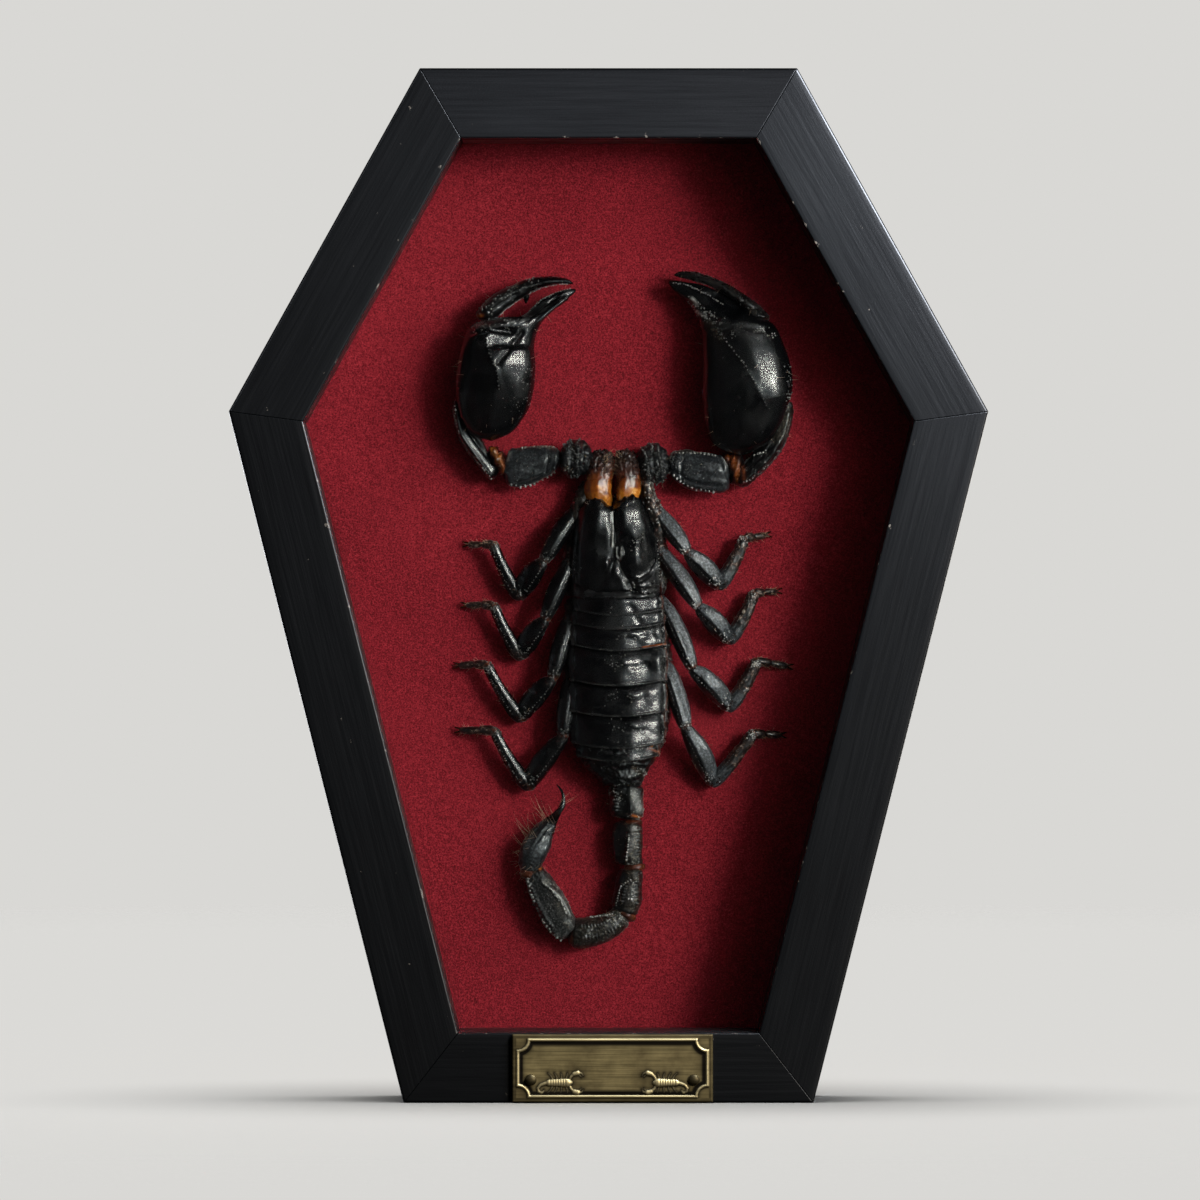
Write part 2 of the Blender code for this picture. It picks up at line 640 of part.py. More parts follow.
def leg_part(a, b, half_width, half_height):
    """Sections of one leg joint from point a to point b, thickest near its middle."""
    sections = []
    for share, size in ((-0.05, 0.55), (0.1, 0.85), (0.5, 1.0), (0.9, 0.88), (1.05, 0.55)):
        point = a.lerp(b, share)
        sections.append((point.x, point.y, point.z, half_width * size, half_height * size))
    return sections


def make_legs(cuticle, rooms):
    """Each leg is its thigh, knee, shin and foot run together, cut clear of the body."""
    for side, legs in LEGS.items():
        for k, joints in enumerate(legs):
            points = [Vector((u, w, h)) for (u, w), h in zip(joints, LEG_JOINT_HEIGHTS)]
            bm = bmesh.new()
            shapes = zip(points, points[1:], LEG_HALF_WIDTHS, LEG_HALF_HEIGHTS, LEG_SIDES)
            for a, b, half_width, half_height, sides in shapes:
                add_limb(bm, leg_part(a, b, half_width, half_height), sides)
            leg = add_object(f"leg_{side}_{k + 1}", bm, cuticle, smooth=True)
            boolean(leg, rooms["head"], own_overlaps=True)
            boolean(leg, rooms["abdomen"])


def make_box():
    """Rails, glass, felt, board, and what is fastened to them."""
    rails = dict(zip(RAILS, make_rails()))
    brass, steel = ("old_brass", OLD_BRASS), ("steel", STEEL)
    glass_inset = RAIL_WIDTH - GROOVE_DEPTH + GAP
    panel_inset = RAIL_WIDTH - REBATE_WIDTH + GAP
    make_panel("glass_pane", glass_inset, GROOVE_START + GAP, GLASS_THICKNESS, ("clear_glass", CLEAR_GLASS))
    felt = make_panel("felt_panel", panel_inset, WALL_DEPTH + GAP, FELT_THICKNESS, ("red_felt", RED_FELT))
    board_depth = WALL_DEPTH + FELT_THICKNESS + 2 * GAP
    board = make_panel("back_board", panel_inset, board_depth, BOARD_THICKNESS, ("brown_board", BROWN_BOARD))
    board_back = FACE_Y + board_depth + BOARD_THICKNESS

    screws = screw_points()
    screw_holes = drill("screw_holes", screws, board_back - SCREW_LENGTH - GAP, BACK_Y + 1 * MM, SCREW_SHANK + GAP)
    for target in (*rails.values(), felt, board):
        boolean(target, screw_holes)
    for k, point in enumerate(screws):
        sizes = (SCREW_HEAD, SCREW_SHANK, SCREW_LENGTH)
        fastener(f"back_screw_{k + 1}", point.x, point.y, board_back, 1, *sizes, steel)

    plate = make_nameplate()
    pins = [(PLATE_X + side * PIN_SPACING / 2, PIN_Z) for side in (-1, 1)]
    plate_front = FACE_Y - GAP - PLATE_THICKNESS
    pin_holes = drill("pin_holes", pins, plate_front - 1 * MM, FACE_Y + NAIL_LENGTH, NAIL_SHANK + GAP)
    boolean(plate, pin_holes)
    boolean(rails["rail_bottom"], pin_holes)
    for side, (x, z) in zip(("left", "right"), pins):
        fastener(f"plate_pin_{side}", x, z, plate_front, -1, PIN_HEAD, NAIL_SHANK, NAIL_LENGTH, brass)

    hanger = make_hanger()
    nail_z = HEIGHT - 0.6 * MM - HANGER_HEIGHT / 2
    nails = [(side * (HANGER_WIDTH / 2 - 0.1 * HANGER_WIDTH), nail_z) for side in (-1, 1)]
    hanger_front = BACK_Y + GAP + HANGER_THICKNESS
    nail_holes = drill("nail_holes", nails, BACK_Y - NAIL_LENGTH, hanger_front + 1 * MM, NAIL_SHANK + GAP)
    boolean(hanger, nail_holes)
    boolean(rails["rail_top"], nail_holes)
    for side, (x, z) in zip(("left", "right"), nails):
        fastener(f"hanger_nail_{side}", x, z, hanger_front, 1, 1.4 * MM, NAIL_SHANK, NAIL_LENGTH, steel)


def make_specimen():
    cuticle = ("black_cuticle", BLACK_CUTICLE)
    rooms = make_body(cuticle)
    make_claw_arms(cuticle, rooms)
    make_tail(cuticle, rooms)
    make_legs(cuticle, rooms)


clear_scene()
make_box()
make_specimen()
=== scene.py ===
import math
from functools import partial

import bpy
import numpy as np
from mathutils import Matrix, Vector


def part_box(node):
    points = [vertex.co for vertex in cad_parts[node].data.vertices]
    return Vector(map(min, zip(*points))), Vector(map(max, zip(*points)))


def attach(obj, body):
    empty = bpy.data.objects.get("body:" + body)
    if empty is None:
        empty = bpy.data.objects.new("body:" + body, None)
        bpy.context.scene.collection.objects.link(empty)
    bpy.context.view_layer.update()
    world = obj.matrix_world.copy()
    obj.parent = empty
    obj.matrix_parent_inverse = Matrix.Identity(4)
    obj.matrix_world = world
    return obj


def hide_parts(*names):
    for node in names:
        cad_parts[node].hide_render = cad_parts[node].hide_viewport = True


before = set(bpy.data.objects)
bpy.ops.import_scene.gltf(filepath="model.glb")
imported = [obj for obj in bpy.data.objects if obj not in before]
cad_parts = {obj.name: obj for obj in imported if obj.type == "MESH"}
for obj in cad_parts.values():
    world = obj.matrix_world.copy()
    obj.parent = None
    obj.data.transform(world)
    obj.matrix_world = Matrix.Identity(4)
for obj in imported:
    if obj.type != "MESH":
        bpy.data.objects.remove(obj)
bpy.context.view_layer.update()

# A framed scorpion: painted wood, glass, felt and brass round a dried black scorpion.
# Lengths in the dictionaries are millimetres. The specimen has its own plane on the felt:
# u to the right, w up, h out towards the window. The box's frame is metres, +Z up.

mm = 0.001
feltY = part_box("felt_panel")[0][1]  # the felt's face
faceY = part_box("rail_top")[0][1]  # the rails' face


def linear(code, alpha=1.0):
    # sRGB hex to linear light: c / 12.92 below 0.04045, else ((c + 0.055) / 1.055) ** 2.4
    values = [int(code[i : i + 2], 16) / 255 for i in (1, 3, 5)]
    return (*[c / 12.92 if c <= 0.04045 else ((c + 0.055) / 1.055) ** 2.4 for c in values], alpha)


def feed(node, links):
    # Each link's source is a socket, or a node whose first output is meant
    for key, source in links.items():
        socket = source if isinstance(source, bpy.types.NodeSocket) else source.outputs[0]
        node.id_data.links.new(socket, node.inputs[key])


def addNode(tree, kind, settings=None, links=None):
    node = tree.nodes.new("ShaderNode" + kind)
    for key, value in (settings or {}).items():
        if key == "stops":  # a colour ramp's (position, colour) pairs
            ramp = node.color_ramp.elements
            while len(ramp) < len(value):
                ramp.new(0.5)
            for stop, (place, code) in zip(ramp, value):
                stop.position, stop.color = place, linear(code)
        elif isinstance(key, int) or key in node.inputs:
            node.inputs[key].default_value = value
        else:
            setattr(node, key, value)
    feed(node, links or {})
    return node


def newMaterial(name, shine):
    # The material, a way to add nodes to it, and its shader
    material = bpy.data.materials.new(name)
    material.use_nodes = True
    shader = material.node_tree.nodes["Principled BSDF"]
    for key, value in shine.items():
        shader.inputs[key].default_value = value
    return material, partial(addNode, material.node_tree), shader


def shuffled(cell, salt):
    # A whole number from 0 to 65535 for each cell of a grid, as if drawn by chance
    mixed = cell[..., 0] * 73856093 ^ cell[..., 1] * 19349663 ^ cell[..., 2] * 83492791 ^ salt
    mixed = (mixed ^ (mixed >> 13)) * 1274126177 & 0x7FFFFFFF
    return (mixed ^ (mixed >> 16)) & 0xFFFF


def wavesOf(points, size, seed=0):
    # Smooth lattice noise, about -1 to 1: random values on a grid of that size, blended across each cell
    scaled = np.asarray(points) / size + 19.7 * (seed + 1)
    cell = np.floor(scaled).astype(np.int64)
    part = scaled - cell
    part = part * part * (3 - 2 * part)
    total = 0.0
    for corner in range(8):
        step = np.array([corner & 1, corner >> 1 & 1, corner >> 2 & 1])
        share = np.prod(np.where(step, part, 1 - part), axis=-1)
        total = total + share * (shuffled(cell + step, seed * 2654435761) / 32767.5 - 1)
    return total


def pebblesOf(points, size, seed=0):
    # Cell noise: 1 at the middle of each random pebble, falling to 0 at about half a pebble's size
    scaled = np.asarray(points) / size + 7.3
    cell = np.floor(scaled).astype(np.int64)
    nearest = np.full(scaled.shape[:-1], 9.0)
    for corner in range(27):
        key = cell + np.array([corner % 3 - 1, corner // 3 % 3 - 1, corner // 9 - 1])
        offsets = [shuffled(key, seed * 7919 + axis * 104729) / 65535 for axis in range(3)]
        centre = key + np.stack(offsets, axis=-1)
        nearest = np.minimum(nearest, np.sum((scaled - centre) ** 2, axis=-1))
    return np.clip(1 - np.sqrt(nearest) / 0.62, 0, 1)


def unit(vectors):
    # Each vector divided by its own length
    return vectors / np.linalg.norm(vectors, axis=-1, keepdims=True)


def smoothStep(value, low, high):
    share = np.clip((value - low) / (high - low), 0, 1)
    return share * share * (3 - 2 * share)


def lineDistance(across, along, line):
    # Distance in the plane from (across, along) to a line of points, and how far along it the nearest is
    best, run, passed = np.full(np.shape(across), 1e9), np.zeros(np.shape(across)), 0.0
    for (x1, y1), (x2, y2) in zip(line, line[1:]):
        dx, dy = x2 - x1, y2 - y1
        length = math.hypot(dx, dy)
        share = np.clip(((across - x1) * dx + (along - y1) * dy) / length**2, 0, 1)
        gap = np.hypot(across - x1 - share * dx, along - y1 - share * dy)
        run = np.where(gap < best, passed + share * length, run)
        best = np.minimum(best, gap)
        passed += length
    return best, run


def nearness(u, w, line, width):
    # 1 on a line, fading to both sides as exp(-(distance / width)^2)
    return np.exp(-((lineDistance(u, w, line)[0] / width) ** 2))


def gridFaces(rows, columns, wrap):
    # Quads of a rows x columns grid of points, joined round in the columns where wrap is true
    row = np.arange(rows - 1)[:, None] * columns
    column = np.arange(columns if wrap else columns - 1)[None, :]
    after = (column + 1) % columns
    corners = (row + column, row + after, row + columns + after, row + columns + column)
    return np.stack(np.broadcast_arrays(*corners), axis=-1).reshape(-1, 4)


def fanFaces(ring, middle):
    # Triangles from a closed ring of point numbers to one middle point
    return np.stack([ring, np.roll(ring, -1), np.full(len(ring), middle)], axis=-1)


def capped(place):
    # Rings of points closed at both ends by a fan round one middle point: all points, and their faces
    rows, columns = place.shape[:2]
    poles = np.array([place[0].mean(axis=0), place[-1].mean(axis=0)])
    ring = np.arange(columns)
    caps = [fanFaces(ring[::-1], rows * columns), fanFaces(ring + (rows - 1) * columns, rows * columns + 1)]
    return np.concatenate([place.reshape(-1, 3), poles]), [gridFaces(rows, columns, True), *caps]


def onFelt(points):
    # Millimetres on the specimen's plane to metres in the box's frame
    points = np.asarray(points, float)
    place = np.empty_like(points)
    place[..., 0] = specimen["x"] * mm + points[..., 0] * mm
    place[..., 1] = feltY - points[..., 2] * mm
    place[..., 2] = specimen["z"] * mm + points[..., 1] * mm
    return place


def makePiece(name, patches, materials, replaced=(), smooth=True):
    # Joins patches, each with points in metres and quads or triangles, into one mesh object
    points, faces, sizes, finishes, values, first = [], [], [], [], {}, 0
    for patch in patches:
        spots = np.asarray(patch["points"], float).reshape(-1, 3)
        points.append(spots)
        for block in patch["faces"]:
            faces.append((block + first).ravel())
            sizes.append(np.full(len(block), block.shape[1]))
            finishes.append(np.full(len(block), patch.get("finish", 0)))
        for key, value in patch.get("values", {}).items():
            values.setdefault(key, []).append((first, np.asarray(value, float).ravel()))
        first += len(spots)
    points, faces, sizes = np.concatenate(points), np.concatenate(faces), np.concatenate(sizes)
    mesh = bpy.data.meshes.new(name)
    mesh.vertices.add(len(points))
    mesh.vertices.foreach_set("co", points.ravel())
    mesh.loops.add(len(faces))
    mesh.loops.foreach_set("vertex_index", faces)
    mesh.polygons.add(len(sizes))
    starts = np.concatenate([[0], np.cumsum(sizes)[:-1]])
    mesh.polygons.foreach_set("loop_start", starts)
    mesh.polygons.foreach_set("loop_total", sizes)
    mesh.polygons.foreach_set("material_index", np.concatenate(finishes))
    mesh.polygons.foreach_set("use_smooth", np.full(len(sizes), smooth))
    for material in materials:
        mesh.materials.append(material)
    mesh.update(calc_edges=True)
    mesh.validate()
    for key, blocks in values.items():
        whole = np.zeros(len(points))
        for start, block in blocks:
            whole[start : start + len(block)] = block
        mesh.attributes.new(key, "FLOAT", "POINT").data.foreach_set("value", whole)
    piece = bpy.data.objects.new(name, mesh)
    bpy.context.scene.collection.objects.link(piece)
    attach(piece, "root")
    if replaced:
        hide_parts(*replaced)
    return piece


boxShape = {
    "height": 207.0, "shoulderHeight": 138.3, "shoulderWidth": 152.0, "topWidth": 75.5, "bottomWidth": 82.0,
    "railWidth": 14.0, "railDepth": 28.1, "rebateWidth": 5.5, "wallDepth": 23.0, "grooveStart": 3.5,
    "grooveEnd": 6.1, "grooveDepth": 3.0, "edgeRadius": 0.55, "mitreGap": 0.05, "step": 1.5,
    "faceStep": 1.6, "wearReach": 0.45,
}
specimen = {"x": 2.15, "z": 100.6, "lowest": 0.08, "lowestGrowth": 0.05}


def outlineAt(inset):
    # The six corners, anticlockwise from the bottom right, moved in along their mitres
    b = boxShape
    right = [(b["bottomWidth"] / 2, 0.0), (b["shoulderWidth"] / 2, b["shoulderHeight"])]
    right.append((b["topWidth"] / 2, b["height"]))
    corners = np.array(right + [(-x, z) for x, z in reversed(right)])
    along = unit(np.roll(corners, -1, axis=0) - corners)
    inward = np.stack([-along[:, 1], along[:, 0]], axis=-1)
    before = np.roll(inward, 1, axis=0)
    mitre = (inward + before) / (1 + np.sum(inward * before, axis=1, keepdims=True))
    return corners + np.asarray(inset)[..., None, None] * mitre, along


def roundedLoop(corners, radii, steps=5):
    # A closed profile whose corners are quarter arcs: quadratic curves from r before to r after each corner
    corners = np.asarray(corners, float)
    before, after = np.roll(corners, 1, axis=0) - corners, np.roll(corners, -1, axis=0) - corners
    share = np.linspace(0, 1, steps)[None, :, None]
    radius = np.asarray(radii, float)[:, None]
    start = (corners + unit(before) * radius)[:, None]
    end = (corners + unit(after) * radius)[:, None]
    curve = (1 - share) ** 2 * start + 2 * share * (1 - share) * corners[:, None] + share**2 * end
    return curve.reshape(-1, 2)


def railPatch(index):
    # The rounded section carried from mitre plane to mitre plane; the last ring at each end is drawn in
    b = boxShape
    wide, deep, wall = b["railWidth"], b["railDepth"], b["wallDepth"]
    groove, rebate = wide - b["grooveDepth"], wide - b["rebateWidth"]
    corners = [
        (0, 0), (wide, 0), (wide, b["grooveStart"]), (groove, b["grooveStart"]), (groove, b["grooveEnd"]),
        (wide, b["grooveEnd"]), (wide, wall), (rebate, wall), (rebate, deep), (0, deep),
    ]
    edge = b["edgeRadius"]
    profile = roundedLoop(corners, [edge, edge * 0.8, 0.25, 0.2, 0.2, 0.25, 0.3, 0.2, 0.4, edge])
    # The long flat faces get points between their corners, so that the slight waves have something to move
    gaps = np.linalg.norm(np.roll(profile, -1, axis=0) - profile, axis=1)
    parts = np.maximum(1, (gaps / b["faceStep"]).astype(int))
    owner = np.repeat(np.arange(len(profile)), parts)
    share = (np.arange(len(owner)) - np.repeat(np.cumsum(parts) - parts, parts)) / parts[owner]
    profile = profile[owner] + (np.roll(profile, -1, axis=0) - profile)[owner] * share[:, None]
    run = np.concatenate([[0], np.cumsum(np.linalg.norm(np.diff(profile, axis=0), axis=1))])
    middle = np.array([wide / 2, deep / 2])
    places, along = outlineAt(profile[:, 0])
    start, end = places[:, index], places[:, (index + 1) % 6]
    length = np.linalg.norm(end - start, axis=1).mean()
    near = b["mitreGap"] / 2 + np.array([0, 0.1, 0.16, 0.3])
    inner = np.linspace(b["step"], length - b["step"], int(length / b["step"]))
    stations = np.concatenate([near, inner, length - near[::-1]]) / length
    spot = start[None] + (end - start)[None] * stations[:, None, None]
    drawnIn = np.zeros(len(stations))
    drawnIn[[0, -1]] = 0.07
    pull = unit(middle - profile)
    inward = np.array([-along[index][1], along[index][0]])
    place = np.empty((len(stations), len(profile), 3))
    place[..., 0] = spot[..., 0] + drawnIn[:, None] * pull[None, :, 0] * inward[0]
    place[..., 1] = profile[None, :, 1] + drawnIn[:, None] * pull[None, :, 1]
    place[..., 2] = spot[..., 1] + drawnIn[:, None] * pull[None, :, 0] * inward[1]
    # Hand-sanded faces: hollows of a few hundredths of a millimetre
    place[..., 1] += 0.035 * wavesOf(place, 14.0, 3) * (profile[None, :, 1] < 1)
    place[..., 1] += faceY / mm
    rows, columns = place.shape[:2]
    fromEdge = np.hypot(profile[:, 0] - wide, profile[:, 1])
    ends = [np.arange(columns)[None, :], (rows - 1) * columns + np.arange(columns)[None, ::-1]]
    return {
        "points": place.reshape(-1, 3) * mm,
        "faces": [gridFaces(rows, columns, True)[:, ::-1], *ends],
        "values": {
            "alongGrain": np.repeat(stations * length, columns) + 200 * index,
            "acrossGrain": np.tile(run, rows),
            "edgeWear": np.tile(np.exp(-fromEdge / b["wearReach"]), rows),
        },
    }


def blackPaintedPine():
    # Sanded pine under two thin coats of satin black: raised grain runs along each rail, edges rub a little
    # brighter, and the paint's skin gives a broad soft sheen
    material, add, shader = newMaterial("blackPaintedPine", {"Roughness": 0.5, "IOR": 1.47})
    along = add("Attribute", {"attribute_name": "alongGrain"})
    across = add("Attribute", {"attribute_name": "acrossGrain"})
    grainPlace = add("CombineXYZ", links={"X": along.outputs["Fac"], "Y": across.outputs["Fac"]})
    stretched = add("Mapping", {"Scale": (0.045, 1.3, 1.0)}, {"Vector": grainPlace})
    fibres = add("TexNoise", {"Scale": 1.0, "Detail": 6.0, "Roughness": 0.62}, {"Vector": stretched})
    longer = add("Mapping", {"Scale": (0.012, 0.33, 1.0)}, {"Vector": grainPlace})
    bands = add("TexNoise", {"Scale": 1.0, "Detail": 3.0, "Distortion": 0.6}, {"Vector": longer})
    where = add("TexCoord")
    cloud = add("TexNoise", {"Scale": 34.0, "Detail": 4.0}, {"Vector": where.outputs["Object"]})
    grit = add("TexNoise", {"Scale": 2600.0, "Detail": 2.0}, {"Vector": where.outputs["Object"]})
    tone = add("Mix", {0: 0.35}, {2: fibres, 3: cloud})
    colour = add("ValToRGB", {"stops": [(0.28, "#060607"), (0.5, "#08090a"), (0.75, "#0c0d0e")]}, {0: tone})
    worn = add("Attribute", {"attribute_name": "edgeWear"})
    chips = add("TexNoise", {"Scale": 420.0, "Detail": 4.0, "Roughness": 0.7},
        {"Vector": where.outputs["Object"]})
    chipped = add("Math", {"operation": "MULTIPLY_ADD", 1: 0.16}, {0: worn.outputs["Fac"], 2: chips})
    bare = add("MapRange", {"From Min": 0.7, "From Max": 0.75}, {"Value": chipped})
    rubbed = add("Mix", {"data_type": "RGBA", 7: linear("#6f675c")}, {0: bare, 6: colour})
    dull = add("MapRange", {"From Min": 0.3, "From Max": 0.7, "To Min": 0.32, "To Max": 0.37},
        {"Value": fibres})
    ripple = add("Mix", {0: 0.4}, {2: fibres, 3: bands})
    lumps = add("Mix", {0: 0.12}, {2: ripple, 3: grit})
    bump = add("Bump", {"Strength": 0.25, "Distance": 0.0003}, {"Height": lumps})
    feed(shader, {"Base Color": rubbed.outputs[2], "Roughness": dull, "Normal": bump})
    return material


paintedPine = blackPaintedPine()
railNames = [
    "rail_lower_right", "rail_upper_right", "rail_top", "rail_upper_left", "rail_lower_left", "rail_bottom",
]
shownNames = ["lowerRightRail", "upperRightRail", "topRail", "upperLeftRail", "lowerLeftRail", "bottomRail"]
for index, (node, shown) in enumerate(zip(railNames, shownNames)):
    makePiece(shown, [railPatch(index)], [paintedPine], [node])
print("rails made")


def flatPanel(inset, depths, spacing, ripple=0.0):
    # A sheet of the box's outline: x runs from edge to edge at each height, both faces joined at the rim
    corners, _ = outlineAt(inset)
    levels = corners[:3, 1]
    rows = [np.linspace(a, b, max(2, int((b - a) / spacing))) for a, b in zip(levels, levels[1:])]
    height = np.concatenate([rows[0], rows[1][1:]])
    half = np.interp(height, levels, corners[:3, 0])
    columns = max(2, int(half.max() * 2 / spacing))
    share = np.linspace(-1, 1, columns)
    place = np.empty((len(height), 2 * columns, 3))
    place[..., 0] = half[:, None] * np.concatenate([share, share[::-1]])
    place[..., 2] = height[:, None]
    place[:, :columns, 1], place[:, columns:, 1] = depths
    place[:, :columns, 1] += ripple * wavesOf(place[:, :columns], 11.0, 5)
    place[..., 1] += faceY / mm
    at = np.arange(columns - 1)
    strip = np.stack([at, at + 1, 2 * columns - 2 - at, 2 * columns - 1 - at], axis=-1)
    top = strip + (len(height) - 1) * 2 * columns
    faces = [gridFaces(len(height), 2 * columns, True), strip[:, ::-1], top]
    return {"points": place.reshape(-1, 3) * mm, "faces": faces}


# The felt: craft felt laid flat on the back board
felt = {"inset": 8.8, "front": 23.3, "thickness": 1.2, "spacing": 1.7, "ripple": 0.05}


def redCraftFelt():
    # Needle-punched polyester felt dyed deep red: matted fibres half a millimetre apart give a mottled,
    # dusty surface without a weave, and stray fibre ends a faint sheen at a slant
    shine = {"Roughness": 0.95, "IOR": 1.5, "Specular IOR Level": 0.2}
    shine.update({"Sheen Weight": 0.25, "Sheen Roughness": 0.5, "Sheen Tint": linear("#e08a8a")})
    material, add, shader = newMaterial("redCraftFelt", shine)
    where = add("TexCoord").outputs["Object"]
    nap = add("TexNoise", {"Scale": 3200.0, "Detail": 4.0, "Roughness": 0.8}, {"Vector": where})
    tufts = add("TexNoise", {"Scale": 1300.0, "Detail": 3.0, "Distortion": 1.2}, {"Vector": where})
    cloud = add("TexNoise", {"Scale": 28.0, "Detail": 2.0}, {"Vector": where})
    fine = add("Mix", {0: 0.22}, {2: nap, 3: tufts})
    mixed = add("Mix", {0: 0.1}, {2: fine, 3: cloud})
    stops = [(0.38, "#4c0a12"), (0.5, "#7d1522"), (0.62, "#ab2f3a")]
    colour = add("ValToRGB", {"stops": stops}, {0: mixed})
    bump = add("Bump", {"Strength": 0.6, "Distance": 0.00025}, {"Height": fine})
    feed(shader, {"Base Color": colour, "Normal": bump})
    return material


feltDepths = (felt["front"], felt["front"] + felt["thickness"])
feltPatch = flatPanel(felt["inset"], feltDepths, felt["spacing"], felt["ripple"])
redFelt = makePiece("redFeltLining", [feltPatch], [redCraftFelt()], ["felt_panel"])
print("felt made")


# The pane: 2 mm float glass in the rails' groove
pane = {"inset": 11.3, "front": 3.8, "thickness": 2.0}


def floatGlass():
    # Float glass, polished flat by how it is made: clear, with a hardly visible green in its edges. Lamps
    # shine through it without the slow paths of true refraction
    shine = {"Roughness": 0.0, "IOR": 1.5, "Transmission Weight": 1.0}
    material, add, shader = newMaterial("floatGlass", shine)
    where = add("TexCoord").outputs["Object"]
    smears = add("TexNoise", {"Scale": 22.0, "Detail": 3.0, "Distortion": 0.8}, {"Vector": where})
    tint = add("ValToRGB", {"stops": [(0.3, "#f6fbf9"), (0.7, "#ffffff")]}, {0: smears})
    clear = add("BsdfTransparent", {"Color": linear("#f8fcfb")})
    ray = add("LightPath")
    both = add("MixShader", links={0: ray.outputs["Is Shadow Ray"], 1: shader, 2: clear})
    feed(material.node_tree.nodes["Material Output"], {"Surface": both})
    feed(shader, {"Base Color": tint})
    return material


panePatch = flatPanel(pane["inset"], (pane["front"], pane["front"] + pane["thickness"]), 400.0)
makePiece("glassPane", [panePatch], [floatGlass()], ["glass_pane"], smooth=False)
print("glass made")


# The nameplate: a cast brass plate whose lettering field is bare
plate = {
    "x": 0.8, "z": 7.0, "width": 40.2, "height": 13.6, "back": 0.3, "thickness": 0.8, "edgeBevel": 0.3,
    "cornerScoop": 2.2, "lineInset": 1.15, "lineHalf": 0.3, "lineHeight": 0.25, "step": 0.13,
    "figureX": 10.6, "figureZ": -2.9, "figureHeight": 0.45,
}
# One scorpion figure in strokes: points, radius at the start and at the end. Its claws point to +x
plateFigure = [
    ([(-2.1, 0.0), (1.5, 0.0)], 0.62, 0.82), ([(1.4, 0.0), (2.1, 0.0)], 0.66, 0.5),
    ([(-2.1, 0.0), (-3.0, -0.15), (-3.8, -0.45), (-4.35, -1.1), (-4.2, -1.75), (-3.6, -2.0)], 0.38, 0.2),
    ([(-3.6, -2.0), (-3.2, -1.7), (-3.15, -1.35)], 0.26, 0.06),
]
for sideSign in (-1, 1):
    plateFigure += [
        ([(1.9, 0.5 * sideSign), (2.3, 1.25 * sideSign), (2.9, 1.75 * sideSign)], 0.24, 0.3),
        ([(2.9, 1.75 * sideSign), (3.6, 1.95 * sideSign)], 0.42, 0.5),
        ([(3.7, 2.05 * sideSign), (4.4, 1.85 * sideSign), (4.8, 1.3 * sideSign)], 0.26, 0.07),
        ([(3.6, 1.75 * sideSign), (4.1, 1.45 * sideSign), (4.35, 1.1 * sideSign)], 0.2, 0.07),
    ]
    for k in range(4):
        root = 1.2 - 0.85 * k
        bend = 0.28 - 0.22 * k
        knee, tip = (root + bend, 1.35 * sideSign), (root + 2.1 * bend - 0.2, 1.95 * sideSign)
        plateFigure.append(([(root, 0.6 * sideSign), knee, tip], 0.16, 0.08))


def plateRelief(x, z):
    # Height over the field: a rounded border line with scooped corners and two figures in domed strokes.
    # Also the distance to the nearest raised form
    a, b = plate["width"] / 2 - plate["lineInset"], plate["height"] / 2 - plate["lineInset"]
    outside = np.maximum(np.abs(x) - a, np.abs(z) - b)
    outside = np.maximum(outside, plate["cornerScoop"] - np.hypot(a - np.abs(x), b - np.abs(z)))
    height = plate["lineHeight"] * np.sqrt(np.clip(1 - (outside / plate["lineHalf"]) ** 2, 0, 1))
    height -= 0.07 * np.exp(-(((outside + 0.62) / 0.2) ** 2))
    away = np.abs(outside + plate["lineHalf"]) - 2 * plate["lineHalf"]
    mirrored = np.abs(x) - plate["figureX"]
    for line, startRadius, endRadius in plateFigure:
        gap, run = lineDistance(-mirrored, z - plate["figureZ"], line)
        radius = startRadius + (endRadius - startRadius) * run / run.max()
        dome = radius * np.sqrt(np.clip(1 - (gap / radius) ** 2, 0, 1)) * plate["figureHeight"]
        if startRadius > 0.6:  # the back's segments
            dome *= 0.88 + 0.12 * np.cos(run / 0.5 * 2 * math.pi)
        height = np.maximum(height, dome)
        away = np.minimum(away, gap - radius)
    return height, away


